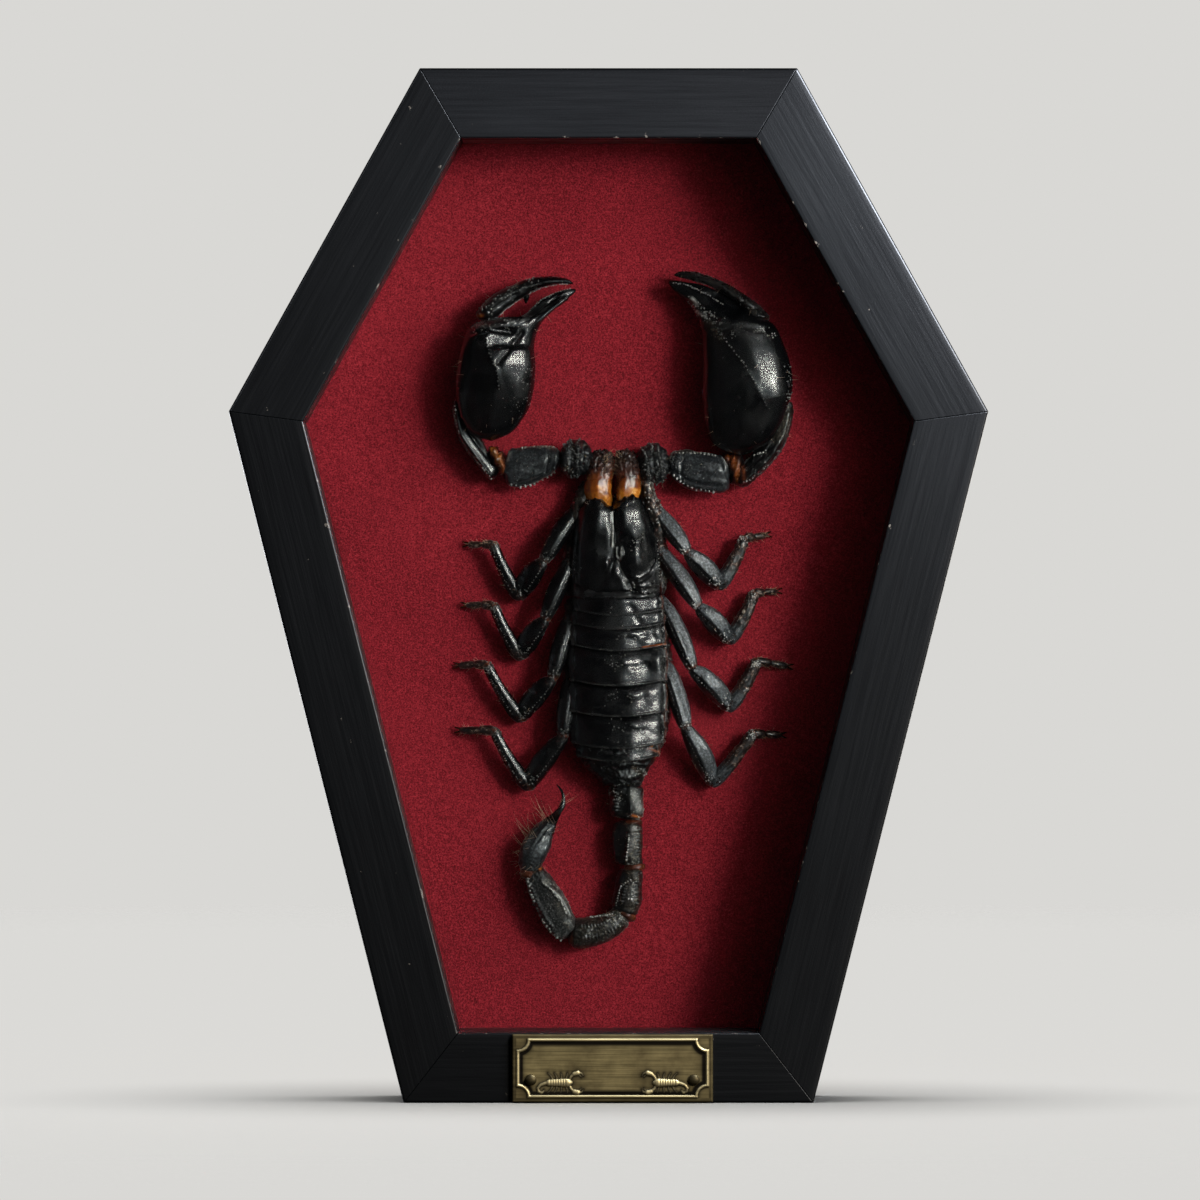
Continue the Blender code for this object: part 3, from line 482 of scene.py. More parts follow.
def platePatch():
    # The relief as a height field on a grid, with bevelled edges, and a flat back
    p = plate
    x = np.linspace(-p["width"] / 2, p["width"] / 2, int(p["width"] / p["step"]))
    z = np.linspace(-p["height"] / 2, p["height"] / 2, int(p["height"] / p["step"]))
    x, z = np.meshgrid(x, z)
    height, away = plateRelief(x, z)
    margin = np.minimum(p["width"] / 2 - np.abs(x), p["height"] / 2 - np.abs(z))
    near = np.clip(away, 0, 9)
    near[margin < p["lineInset"] - p["lineHalf"]] = 0.25
    bevel = 1 - np.sqrt(1 - (1 - np.clip(margin / p["edgeBevel"], 0, 1)) ** 2)
    shown = p["thickness"] + height - 0.3 * bevel
    flat = np.stack([x + p["x"], np.zeros_like(x), z + p["z"]], axis=-1)
    front, back = flat.copy(), flat.copy()
    front[..., 1] = faceY / mm - p["back"] - shown
    back[..., 1] = faceY / mm - p["back"]
    rows, columns = x.shape
    index = np.arange(rows * columns).reshape(rows, columns)
    rim = np.concatenate([index[0, :-1], index[:-1, -1], index[-1, :0:-1], index[:0:-1, 0]])
    lower = rows * columns + np.arange(len(rim))
    walls = np.stack([rim, lower, np.roll(lower, -1), np.roll(rim, -1)], axis=-1)
    points = np.concatenate([front.reshape(-1, 3), back.reshape(-1, 3)[rim]])
    rest = np.zeros(len(rim))
    recess = np.clip(0.75 * np.exp(-near / 0.3) + 0.35 * np.exp(-near / 1.2), 0, 1)
    return {
        "points": points * mm,
        "faces": [gridFaces(rows, columns, False), walls, lower[None, ::-1]],
        "values": {
            "raised": np.concatenate([np.clip(height / 0.2, 0, 1).ravel(), rest]),
            "recess": np.concatenate([recess.ravel(), rest]),
        },
    }


def agedBrass():
    # Die-cast brass with an antique wash: dark olive in the recesses, polished where it is raised, brushed
    # from side to side, so its sheen is streaked
    material, add, shader = newMaterial("agedBrass", {"Metallic": 0.85, "Anisotropic": 0.3})
    raised = add("Attribute", {"attribute_name": "raised"}).outputs["Fac"]
    recess = add("Attribute", {"attribute_name": "recess"}).outputs["Fac"]
    where = add("TexCoord").outputs["Object"]
    brushed = add("Mapping", {"Scale": (90.0, 2500.0, 2500.0)}, {"Vector": where})
    streaks = add("TexNoise", {"Scale": 1.0, "Detail": 3.0}, {"Vector": brushed})
    patches = add("TexNoise", {"Scale": 210.0, "Detail": 4.0, "Roughness": 0.6}, {"Vector": where})
    field = add("ValToRGB", {"stops": [(0.3, "#85754f"), (0.7, "#b5a26f")]}, {0: patches})
    washed = add("Mix", {"data_type": "RGBA", 7: linear("#1f1a12")}, {0: recess, 6: field})
    bright = add("Mix", {"data_type": "RGBA", 7: linear("#e2cf9a")}, {0: raised, 6: washed.outputs[2]})
    rough = add("MapRange", {"From Min": 0.3, "From Max": 0.7, "To Min": 0.36, "To Max": 0.56},
        {"Value": streaks})
    both = add("Mix", {0: 0.4}, {2: streaks, 3: patches})
    bump = add("Bump", {"Strength": 0.35, "Distance": 0.0001}, {"Height": both})
    feed(shader, {"Base Color": bright.outputs[2], "Roughness": rough, "Normal": bump})
    return material


brass = agedBrass()
makePiece("brassPlate", [platePatch()], [brass], ["nameplate"])


def headedPin(x, z, seat, outward, head, rise, shank, length, slot=0.0):
    # A profile turned round its own axis: shank, flat underside, domed head; a cross slot is pressed into
    # it where either of the head's two middle lines is nearer than the slot's half width
    dome = np.linspace(0.1, math.pi / 2 - 0.06, 12)
    radius = np.concatenate([[shank * 0.3, shank, shank, head * 0.97], head * np.cos(dome)])
    reach = np.concatenate([[-length - 0.4, -length, 0.3, 0.3], 0.3 + rise * np.sin(dome)])
    turn = np.linspace(0, 2 * math.pi, 48, endpoint=False) * -outward
    across, up = radius[:, None] * np.cos(turn), radius[:, None] * np.sin(turn)
    deep = np.zeros_like(across)
    if slot:
        inSlot = 1 - smoothStep(np.minimum(np.abs(across), np.abs(up)), slot * 0.7, slot)
        deep = 0.4 * inSlot * (1 - smoothStep(np.hypot(across, up), 0.5 * head, 0.62 * head))
        deep[:4] = 0
    place = np.stack([x + across, seat + outward * (reach[:, None] - deep), z + up], axis=-1)
    points, faces = capped(place)
    return {"points": points * mm, "faces": faces}


def zincSteel():
    # Stamped steel, zinc plated: cool grey, with the small crystals and dull spots of a thin coat
    material, add, shader = newMaterial("zincSteel", {"Metallic": 1.0, "Roughness": 0.35})
    where = add("TexCoord").outputs["Object"]
    crystals = add("TexVoronoi", {"Scale": 900.0}, {"Vector": where})
    cloud = add("TexNoise", {"Scale": 160.0, "Detail": 4.0}, {"Vector": where})
    colour = add("ValToRGB", {"stops": [(0.3, "#8d9094"), (0.7, "#c3c6c9")]}, {0: cloud})
    rough = add("MapRange", {"From Min": 0.0, "From Max": 1.0, "To Min": 0.28, "To Max": 0.46},
        {"Value": crystals.outputs["Distance"]})
    feed(shader, {"Base Color": colour, "Roughness": rough})
    return material


def rawFibreboard():
    # Pressed brown fibreboard, unsealed: matt, with pale and dark fibre bundles a few millimetres long
    material, add, shader = newMaterial("rawFibreboard", {"Roughness": 0.88, "IOR": 1.5})
    where = add("TexCoord").outputs["Object"]
    bent = add("TexNoise", {"Scale": 90.0, "Detail": 2.0}, {"Vector": where})
    mixed = add("Mix", {"data_type": "RGBA", "blend_type": "ADD", 0: 0.02}, {6: where, 7: bent.outputs[1]})
    bundles = add("TexNoise", {"Scale": 650.0, "Detail": 5.0, "Roughness": 0.65},
        {"Vector": mixed.outputs[2]})
    flecks = add("TexVoronoi", {"Scale": 420.0}, {"Vector": mixed.outputs[2]})
    both = add("Mix", {0: 0.35}, {2: bundles, 3: flecks.outputs["Distance"]})
    stops = [(0.3, "#5f4630"), (0.48, "#82634a"), (0.68, "#a3866a")]
    colour = add("ValToRGB", {"stops": stops}, {0: both})
    bump = add("Bump", {"Strength": 0.4, "Distance": 0.0002}, {"Height": bundles})
    feed(shader, {"Base Color": colour, "Normal": bump})
    return material


# Pins, screws and nails: the places come from the CAD solids
fasteners = {
    "pinHead": 1.15, "pinShank": 0.45, "nailHead": 1.4, "screwHead": 2.2, "screwShank": 0.9, "rise": 0.65,
    "slot": 0.42,
}


def fastenerPatch(node, outward, head, shank, slot=0.0):
    low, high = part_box(node)
    x, z = (low[0] + high[0]) / 2 / mm, (low[2] + high[2]) / 2 / mm
    top, tip = (high[1], low[1]) if outward > 0 else (low[1], high[1])
    seat = top / mm - outward * (0.3 + fasteners["rise"])
    return headedPin(x, z, seat, outward, head, fasteners["rise"], shank, abs(tip / mm - seat) - 0.4, slot)


steel = zincSteel()
for node, shown in (("plate_pin_left", "leftPlatePin"), ("plate_pin_right", "rightPlatePin")):
    patch = fastenerPatch(node, -1, fasteners["pinHead"], fasteners["pinShank"])
    patch["values"] = {"recess": np.full(len(patch["points"]), 0.8)}
    makePiece(shown, [patch], [brass], [node])
for node, shown in (("hanger_nail_left", "leftHangerNail"), ("hanger_nail_right", "rightHangerNail")):
    patch = fastenerPatch(node, 1, fasteners["nailHead"], fasteners["pinShank"])
    makePiece(shown, [patch], [steel], [node])
for k in range(1, 7):
    patch = fastenerPatch(f"back_screw_{k}", 1, fasteners["screwHead"], fasteners["screwShank"],
        fasteners["slot"])
    makePiece(f"backScrew{k}", [patch], [steel], [f"back_screw_{k}"])
for node, finish in (("back_board", rawFibreboard()), ("hanger", steel)):
    solid = bpy.data.objects[node]
    for place in solid.material_slots:
        place.material = finish
print("plate and fasteners made")


# The dried scorpion
def splineAt(rows, places):
    # Cubic Hermite curve through rows of numbers, by distance along the first three, slopes from neighbours
    gaps = np.linalg.norm(np.diff(rows[:, :3], axis=0), axis=1)
    marks = np.concatenate([[0], np.cumsum(gaps)])
    slopes = np.gradient(rows, marks, axis=0)
    index = np.clip(np.searchsorted(marks, places, side="right") - 1, 0, len(gaps) - 1)
    width = gaps[index][:, None]
    t = ((places - marks[index]) / gaps[index])[:, None]
    a, b, m, n = rows[index], rows[index + 1], slopes[index] * width, slopes[index + 1] * width
    value = (2 * t**3 - 3 * t**2 + 1) * a + (t**3 - 2 * t**2 + t) * m
    value = value + (3 * t**2 - 2 * t**3) * b + (t**3 - t**2) * n
    slope = (6 * t**2 - 6 * t) * (a - b) + (3 * t**2 - 4 * t + 1) * m + (3 * t**2 - 2 * t) * n
    return value, slope / width


def sections(route):
    # Rows for a tube from its middle line (u, w, height, half width, rise): edges half a width to each side
    route = np.array(route, float)
    along = unit(np.gradient(route[:, :2], axis=0))
    across = np.column_stack([-along[:, 1], along[:, 0]]) * route[:, 3:4]
    return np.column_stack([route[:, :2] + across, route[:, :2] - across, route[:, 2], route[:, 4:]])


# Looks carried by each point. The pale one is painted highlight: pale lines on edges and pale granule tips
# in place of glints. The satin one's grey is partly painted sheen
zoneNames = ("membrane", "dull", "satin", "tan", "speckle", "frost")


def normalsOf(place):
    # The normal at each point of a tube's grid, and the area round it
    sideways = np.roll(place, -1, axis=1) - np.roll(place, 1, axis=1)
    cross = np.cross(sideways, np.gradient(place, axis=0))
    size = np.linalg.norm(cross, axis=-1, keepdims=True)
    return cross / np.maximum(size, 1e-12), size[..., 0]


def zonesOn(shape, place, share, x):
    # How much of each look a point has: near lines, to one side or along the tube, broken up by blotches
    u, w = place[..., 0], place[..., 1]
    zones = {}
    for name, kind, *facts in shape.get("zones", ()):
        if kind == "line":  # near a line on the felt's plane: line, width, value
            amount = facts[2] * nearness(u, w, facts[0], facts[1])
        elif kind == "side":  # from none to all between two places across: start, end, value
            amount = facts[2] * smoothStep(x, facts[0], facts[1])[None]
        else:  # "ramp": pairs of share of the length and value
            amount = np.interp(share, *np.array(facts[0]).T)[:, None]
        zones[name] = np.maximum(zones.get(name, 0), np.broadcast_to(amount, u.shape))
    blotches = 1 + 0.5 * wavesOf(place, 1.1, 8) + 0.4 * wavesOf(place, 0.45, 9)
    broken = {"membrane": 0.25, "satin": 0.3, "dull": 0.6}
    for name, amount in zones.items():
        zones[name] = np.clip(amount * (1 + (blotches - 1) * broken.get(name, 1.0)), 0, 1)
    return zones


def reliefOn(shape, place, facing, zones):
    # How far each point moves out along its normal. Folds are wrinkles that run along a heading in degrees;
    # folds and grains may be kept to one zone
    u, w = place[..., 0], place[..., 1]
    moved = np.zeros_like(u)
    for line, width, height, *beads in shape.get("ridges", ()):
        gap, run = lineDistance(u, w, line)
        rise = height * np.exp(-((gap / width) ** 2)) * facing
        if beads:
            rise *= 0.5 + 0.5 * np.cos(run / beads[0] * 2 * math.pi)
        moved += rise
    for heading, spacing, height, where in shape.get("folds", ()):
        turned = math.radians(heading)
        across = u * math.sin(turned) - w * math.cos(turned)
        along = u * math.cos(turned) + w * math.sin(turned)
        folded = np.stack([across, along / 5, place[..., 2] / 3], axis=-1)
        moved += height * wavesOf(folded, spacing, 2) * (zones.get(where, 0.0) if where else 1.0)
    for size, height, where in shape.get("grains", ()):
        moved += height * pebblesOf(place, size, 4) * (zones.get(where, 0.0) if where else 1.0)
    for size, height in shape.get("waves", ()):
        moved += height * wavesOf(place, size, 6)
    return moved


def tube(shape):
    # A section carried between two edge lines: middle + half * x across, height + rise * z up or drop * z
    # down, where (x, z) = (cos^q, sin^q) and q below 1 gives shoulders. Each end closes by the factor
    # sqrt(1 - (1 - d / r)^2). A profile gives the top's height over x instead; bulges lift it near lines
    rows = []
    for row in shape["rows"]:  # a row without its drop gets one that ends just over the felt
        rows.append(row if len(row) > 6 else (*row, max(0.1, min(row[5], row[4] - 0.3))))
    rows = np.array(rows, float)
    middle, across = (rows[:, :2] + rows[:, 2:4]) / 2, (rows[:, 2:4] - rows[:, :2]) / 2
    rows = np.column_stack([middle, rows[:, 4], across, rows[:, 5:]])
    length = np.sum(np.linalg.norm(np.diff(rows[:, :3], axis=0), axis=1))
    rings, around = shape["grid"]
    share = 0.5 - 0.5 * np.cos(math.pi * (np.arange(rings) + 0.5) / rings)
    value, forward = splineAt(rows, share * length)
    forward = unit(forward[:, :3])
    half = np.column_stack([value[:, 3:5], np.zeros(rings)])
    hand = np.sign(np.sum(half[:, 1] * forward[:, 0] - half[:, 0] * forward[:, 1]))
    fromEnds = (share * length, (1 - share) * length)
    fade = np.ones(rings)
    for distance, radius in zip(fromEnds, shape.get("rounded", (1, 1))):
        fade *= np.sqrt(1 - (1 - np.minimum(distance / radius, 1)) ** 2)
    turn = hand * np.linspace(0, 2 * math.pi, around, endpoint=False)
    turn = turn + shape.get("topShare", 0.4) * np.cos(turn)
    power = shape.get("square", 1.0)
    x = np.sign(np.cos(turn)) * np.abs(np.cos(turn)) ** power
    z = np.sign(np.sin(turn)) * np.abs(np.sin(turn)) ** power
    wide = x + shape.get("lean", 0.0) * np.clip(z, 0, 1) ** 2
    place = value[:, None, :3] + half[:, None] * (fade[:, None] * wide)[..., None]
    upper = np.broadcast_to(z, (rings, around))
    if "profile" in shape:  # (share of the length, [(x, share of the rise), ...]), smoothed over x
        marks = np.array([mark for mark, _ in shape["profile"]])
        fine = np.linspace(-1.3, 1.3, 131)
        tables = []
        for _, table in shape["profile"]:
            smooth = np.convolve(np.interp(fine, *np.array(table).T), np.ones(9) / 9, "same")
            tables.append(np.interp(x, fine, smooth))
        shoulders = np.sqrt(1 - np.minimum(np.abs(x), 1) ** 10)
        blend = np.array([np.interp(share, marks, row) for row in np.eye(len(marks))]).T
        upper = blend @ (np.array(tables) * shoulders)
    place[..., 2] += np.where(z > 0, value[:, 5:6] * upper, value[:, 6:7] * z) * fade[:, None]
    for key, distance in zip(("startEdge", "endEdge"), fromEnds):
        if key in shape:
            reach = np.clip(1 - distance / shape["edgeReach"], 0, 1)[:, None] ** 1.5
            push = np.interp(x, *np.array(shape[key]).T) * reach
            place += forward[:, None] * push[..., None]
    top = smoothStep(z, 0.0, 0.3)
    for line, width, lift in shape.get("bulges", ()):
        place[..., 2] += lift * nearness(place[..., 0], place[..., 1], line, width) * top * fade[:, None]
    normal, _ = normalsOf(place)
    zones = zonesOn(shape, place, share, x)
    moved = reliefOn(shape, place, smoothStep(normal[..., 2], -0.1, 0.35), zones)
    place = place + normal * (moved * smoothStep(fade, 0.1, 0.6)[:, None])[..., None]
    place[..., 2] = np.maximum(place[..., 2], specimen["lowest"])
    normal, area = normalsOf(place)
    points, faces = capped(place)
    values = {}
    for name in zoneNames:
        amount = np.maximum(zones.get(name, 0), shape.get(name, 0.0)) * np.ones_like(area)
        values[name] = np.concatenate([amount.ravel(), [amount[0].mean(), amount[-1].mean()]])
    return {
        "points": onFelt(points),
        "faces": faces,
        "values": values,
        "roots": (place.reshape(-1, 3), normal.reshape(-1, 3), area.ravel()),
    }


def rootsOn(patch, growth, chance):
    # Points to grow from: at a spacing along a line, or drawn by area, near a line if one is given
    place, normal, area = patch["roots"]
    if "spacing" in growth:
        line = np.array(growth["near"], float)
        marks = np.concatenate([[0], np.cumsum(np.linalg.norm(np.diff(line, axis=0), axis=1))])
        spots = np.arange(0.5, marks[-1] / growth["spacing"]) * growth["spacing"]
        spots = np.column_stack([np.interp(spots, marks, line[:, k]) for k in (0, 1)])
        spots = spots + chance.normal(0, 0.05, spots.shape)
        upper = np.flatnonzero(normal[:, 2] > -0.1)
        gaps = np.linalg.norm(place[upper][None, :, :2] - spots[:, None], axis=-1)
        return upper[np.argmin(gaps, axis=1)]
    weight = area * (normal[:, 2] > growth.get("facing", -0.3))
    if "near" in growth:
        weight = weight * nearness(place[:, 0], place[:, 1], growth["near"], growth["within"])
    return chance.choice(len(place), growth["count"], p=weight / weight.sum())


def ringAbout(axes, angles):
    # Unit steps out from each axis at these angles round it: cos a e + sin a f
    first = unit(np.cross(axes, [0.3, 0.5, 0.8]))
    second = np.cross(axes, first)
    return first[:, None] * np.cos(angles)[None, :, None] + second[:, None] * np.sin(angles)[None, :, None]


def studs(patch, growth):
    # Granules as small domes: root + r cos b (cos a e + sin a f) + n r tall sin b, closed underneath
    place, normal, _ = patch["roots"]
    chance = np.random.default_rng(growth.get("seed", 3))
    root = rootsOn(patch, growth, chance)
    count, sides = len(root), 7
    radius = growth["radius"] * chance.uniform(0.7, 1.25, count)[:, None, None]
    ringOut = ringAbout(normal[root], np.linspace(0, 2 * math.pi, sides, endpoint=False))
    levels = np.array([-0.3, 0.45, 1.0])
    up = normal[root][:, None]
    tall = growth.get("tall", 0.9)
    rings = [place[root][:, None] + radius * (np.cos(b) * ringOut + tall * np.sin(b) * up) for b in levels]
    spots = np.concatenate([*rings, place[root][:, None] + radius * tall * up], axis=1)
    spots[..., 2] = np.maximum(spots[..., 2], specimen["lowestGrowth"])
    base = (np.arange(count) * (3 * sides + 1))[:, None, None]
    ends = fanFaces(np.arange(sides) + 2 * sides, 3 * sides)[None] + base
    floor = np.arange(sides)[None, ::-1] + base[:, 0]
    values = {name: np.full(count * (3 * sides + 1), growth[name]) for name in zoneNames if name in growth}
    faces = [(gridFaces(3, sides, True)[None] + base).reshape(-1, 4), ends.reshape(-1, 3), floor]
    return {"points": onFelt(spots.reshape(-1, 3)), "faces": faces, "values": values}


def hairs(patch, growth):
    # Bristles as tapered three-sided cones: root + L (t d + t^2 b) + r (1 - t) (cos a e + sin a f)
    place, normal, _ = patch["roots"]
    chance = np.random.default_rng(growth["seed"])
    root = rootsOn(patch, growth, chance)
    count = len(root)
    heading = normal[root] * growth.get("stand", 1.0) + np.array(growth.get("lean", (0, 0, 0)))
    heading = unit(heading + chance.normal(0, 0.25, (count, 3)))
    long = chance.uniform(*growth["length"], count)[:, None]
    bend = (np.array(growth.get("bend", (0, 0, -0.2))) + chance.normal(0, 0.12, (count, 3))) * long
    t = np.array([0.0, 0.45, 0.8])
    spine = place[root][:, None] - heading[:, None] * 0.1 + heading[:, None] * (t * long)[..., None]
    spine = spine + bend[:, None] * (t**2)[None, :, None]
    around = ringAbout(heading, np.arange(3) * 2 * math.pi / 3)
    ringPlace = spine[:, :, None] + around[:, None] * (growth["radius"] * (1 - t))[None, :, None, None]
    tip = place[root] + heading * long + bend
    spots = np.concatenate([ringPlace.reshape(count, 9, 3), tip[:, None]], axis=1)
    spots[..., 2] = np.maximum(spots[..., 2], specimen["lowestGrowth"])
    base = (np.arange(count) * 10)[:, None, None]
    quads = gridFaces(3, 3, True)[None] + base
    ends = np.array([[6, 7, 9], [7, 8, 9], [8, 6, 9], [2, 1, 0]])[None] + base
    faces = [quads.reshape(-1, 4), ends.reshape(-1, 3)]
    return {"points": onFelt(spots.reshape(-1, 3)), "faces": faces, "finish": 1}


def scattered(near, within, count, **more):
    # Growth drawn by chance near a line
    return {"near": near, "within": within, "count": count, **more}


def beaded(near, spacing, **more):
    # Growth at even steps along a line
    return {"near": near, "spacing": spacing, **more}


def grown(shape, seed=1):
    # A tube with the granules and bristles that its dictionary asks for
    patch = tube(shape)
    patches = [patch]
    for k, growth in enumerate(shape.get("studs", ())):
        patches.append(studs(patch, {"seed": seed + k, "dull": 0.3, **growth}))
    for k, growth in enumerate(shape.get("bristles", ())):
        basics = {"seed": 100 * seed + k, "length": (0.6, 1.6), "radius": 0.035}
        patches.append(hairs(patch, {**basics, **growth}))
    return patches


def dryCuticle():
    # Scorpion cuticle, hard and black, dried: polished where it is smooth, so lamps show as sharp white
    # patches, pitted all over, satin on flat limbs with a grey that is partly painted sheen, brown where
    # fine granules scatter, amber to red-brown at soft membranes, and painted highlight as pale edge lines
    # and pale granule tips
    material, add, shader = newMaterial("dryCuticle", {"IOR": 1.6})
    parts = {name: add("Attribute", {"attribute_name": name}).outputs["Fac"] for name in zoneNames}
    where = add("TexCoord").outputs["Object"]
    pits = add("TexVoronoi", {"Scale": 1700.0}, {"Vector": where})
    skin = add("TexNoise", {"Scale": 2300.0, "Detail": 4.0, "Roughness": 0.65}, {"Vector": where})
    cloud = add("TexNoise", {"Scale": 330.0, "Detail": 4.0, "Roughness": 0.6}, {"Vector": where})
    flecks = add("TexNoise", {"Scale": 1500.0, "Detail": 2.0, "Roughness": 0.5}, {"Vector": where})

    def ramp(factor, *stops):
        return add("ValToRGB", {"stops": stops}, {0: factor}).outputs[0]

    def over(amount, below, above):
        return add("Mix", {"data_type": "RGBA"}, {0: amount, 6: below, 7: above}).outputs[2]

    colour = ramp(cloud, (0.35, "#040405"), (0.7, "#0a0a0b"))
    # A satin roughness with a grey over the black that is partly painted sheen
    colour = over(parts["satin"], colour,
        ramp(skin, (0.38, "#0f1012"), (0.5, "#2b2e32"), (0.62, "#63676c")))
    colour = over(parts["tan"], colour, ramp(skin, (0.4, "#0c0a08"), (0.54, "#2e2821"), (0.68, "#7d7263")))
    depth = add("Math", {"operation": "MULTIPLY_ADD", 1: 0.7, 2: 0.6}, {0: cloud})
    depth = add("Math", {"operation": "MULTIPLY"}, {0: parts["membrane"], 1: depth})
    amber = ramp(depth, (0.0, "#050505"), (0.25, "#170805"), (0.45, "#381407"), (0.7, "#6f340e"),
        (0.9, "#a8641d"), (1.0, "#c98f45"))
    edge = add("MapRange", {"From Max": 0.2}, {"Value": parts["membrane"]})
    colour = over(edge, colour, amber)
    colour = over(parts["speckle"], colour,
        ramp(flecks, (0.44, "#0b0605"), (0.55, "#3a1f17"), (0.63, "#806759"), (0.72, "#cfc3b6")))
    # Painted highlight: pale edge lines and pale granule tips
    colour = over(parts["frost"], colour, ramp(skin, (0.3, "#6d6b69"), (0.6, "#d2cfca")))
    polished = add("MapRange", {"From Min": 0.35, "From Max": 0.7, "To Min": 0.2, "To Max": 0.28},
        {"Value": cloud})
    rough = add("Mix", {3: 0.36}, {0: parts["dull"], 2: polished})
    rougher = add("Mix", {3: 0.44}, {0: parts["satin"], 2: rough})
    lumps = add("Mix", {0: 0.45}, {2: skin, 3: pits.outputs["Distance"]})
    loose = add("Math", {"operation": "MAXIMUM"}, {0: parts["tan"], 1: parts["speckle"]})
    loose = add("Math", {"operation": "MULTIPLY_ADD", 1: 0.4}, {0: parts["satin"], 2: loose})
    strength = add("Mix", {2: 0.035, 3: 1.0}, {0: loose})
    bump = add("Bump", {"Distance": 0.00008}, {"Height": lumps, "Strength": strength})
    feed(shader, {"Base Color": colour, "Roughness": rougher, "Normal": bump})
    return material


def redBristle():
    # Bristles of the same stuff, thin enough to let light through: glossy red-brown, paler in patches
    material, add, shader = newMaterial("redBristle", {"Roughness": 0.35, "IOR": 1.56})
    where = add("TexCoord").outputs["Object"]
    cloud = add("TexNoise", {"Scale": 500.0, "Detail": 2.0}, {"Vector": where})
    colour = add("ValToRGB", {"stops": [(0.35, "#6a4630"), (0.65, "#c9a988")]}, {0: cloud})
    feed(shader, {"Base Color": colour})
    return material


cuticle, bristle = dryCuticle(), redBristle()


def bow(depth, count=13):
    # An edge that runs out in the middle by depth: depth * (1 - x^2) over the half width
    return [(x, depth * (1 - x * x)) for x in np.linspace(-1, 1, count)]


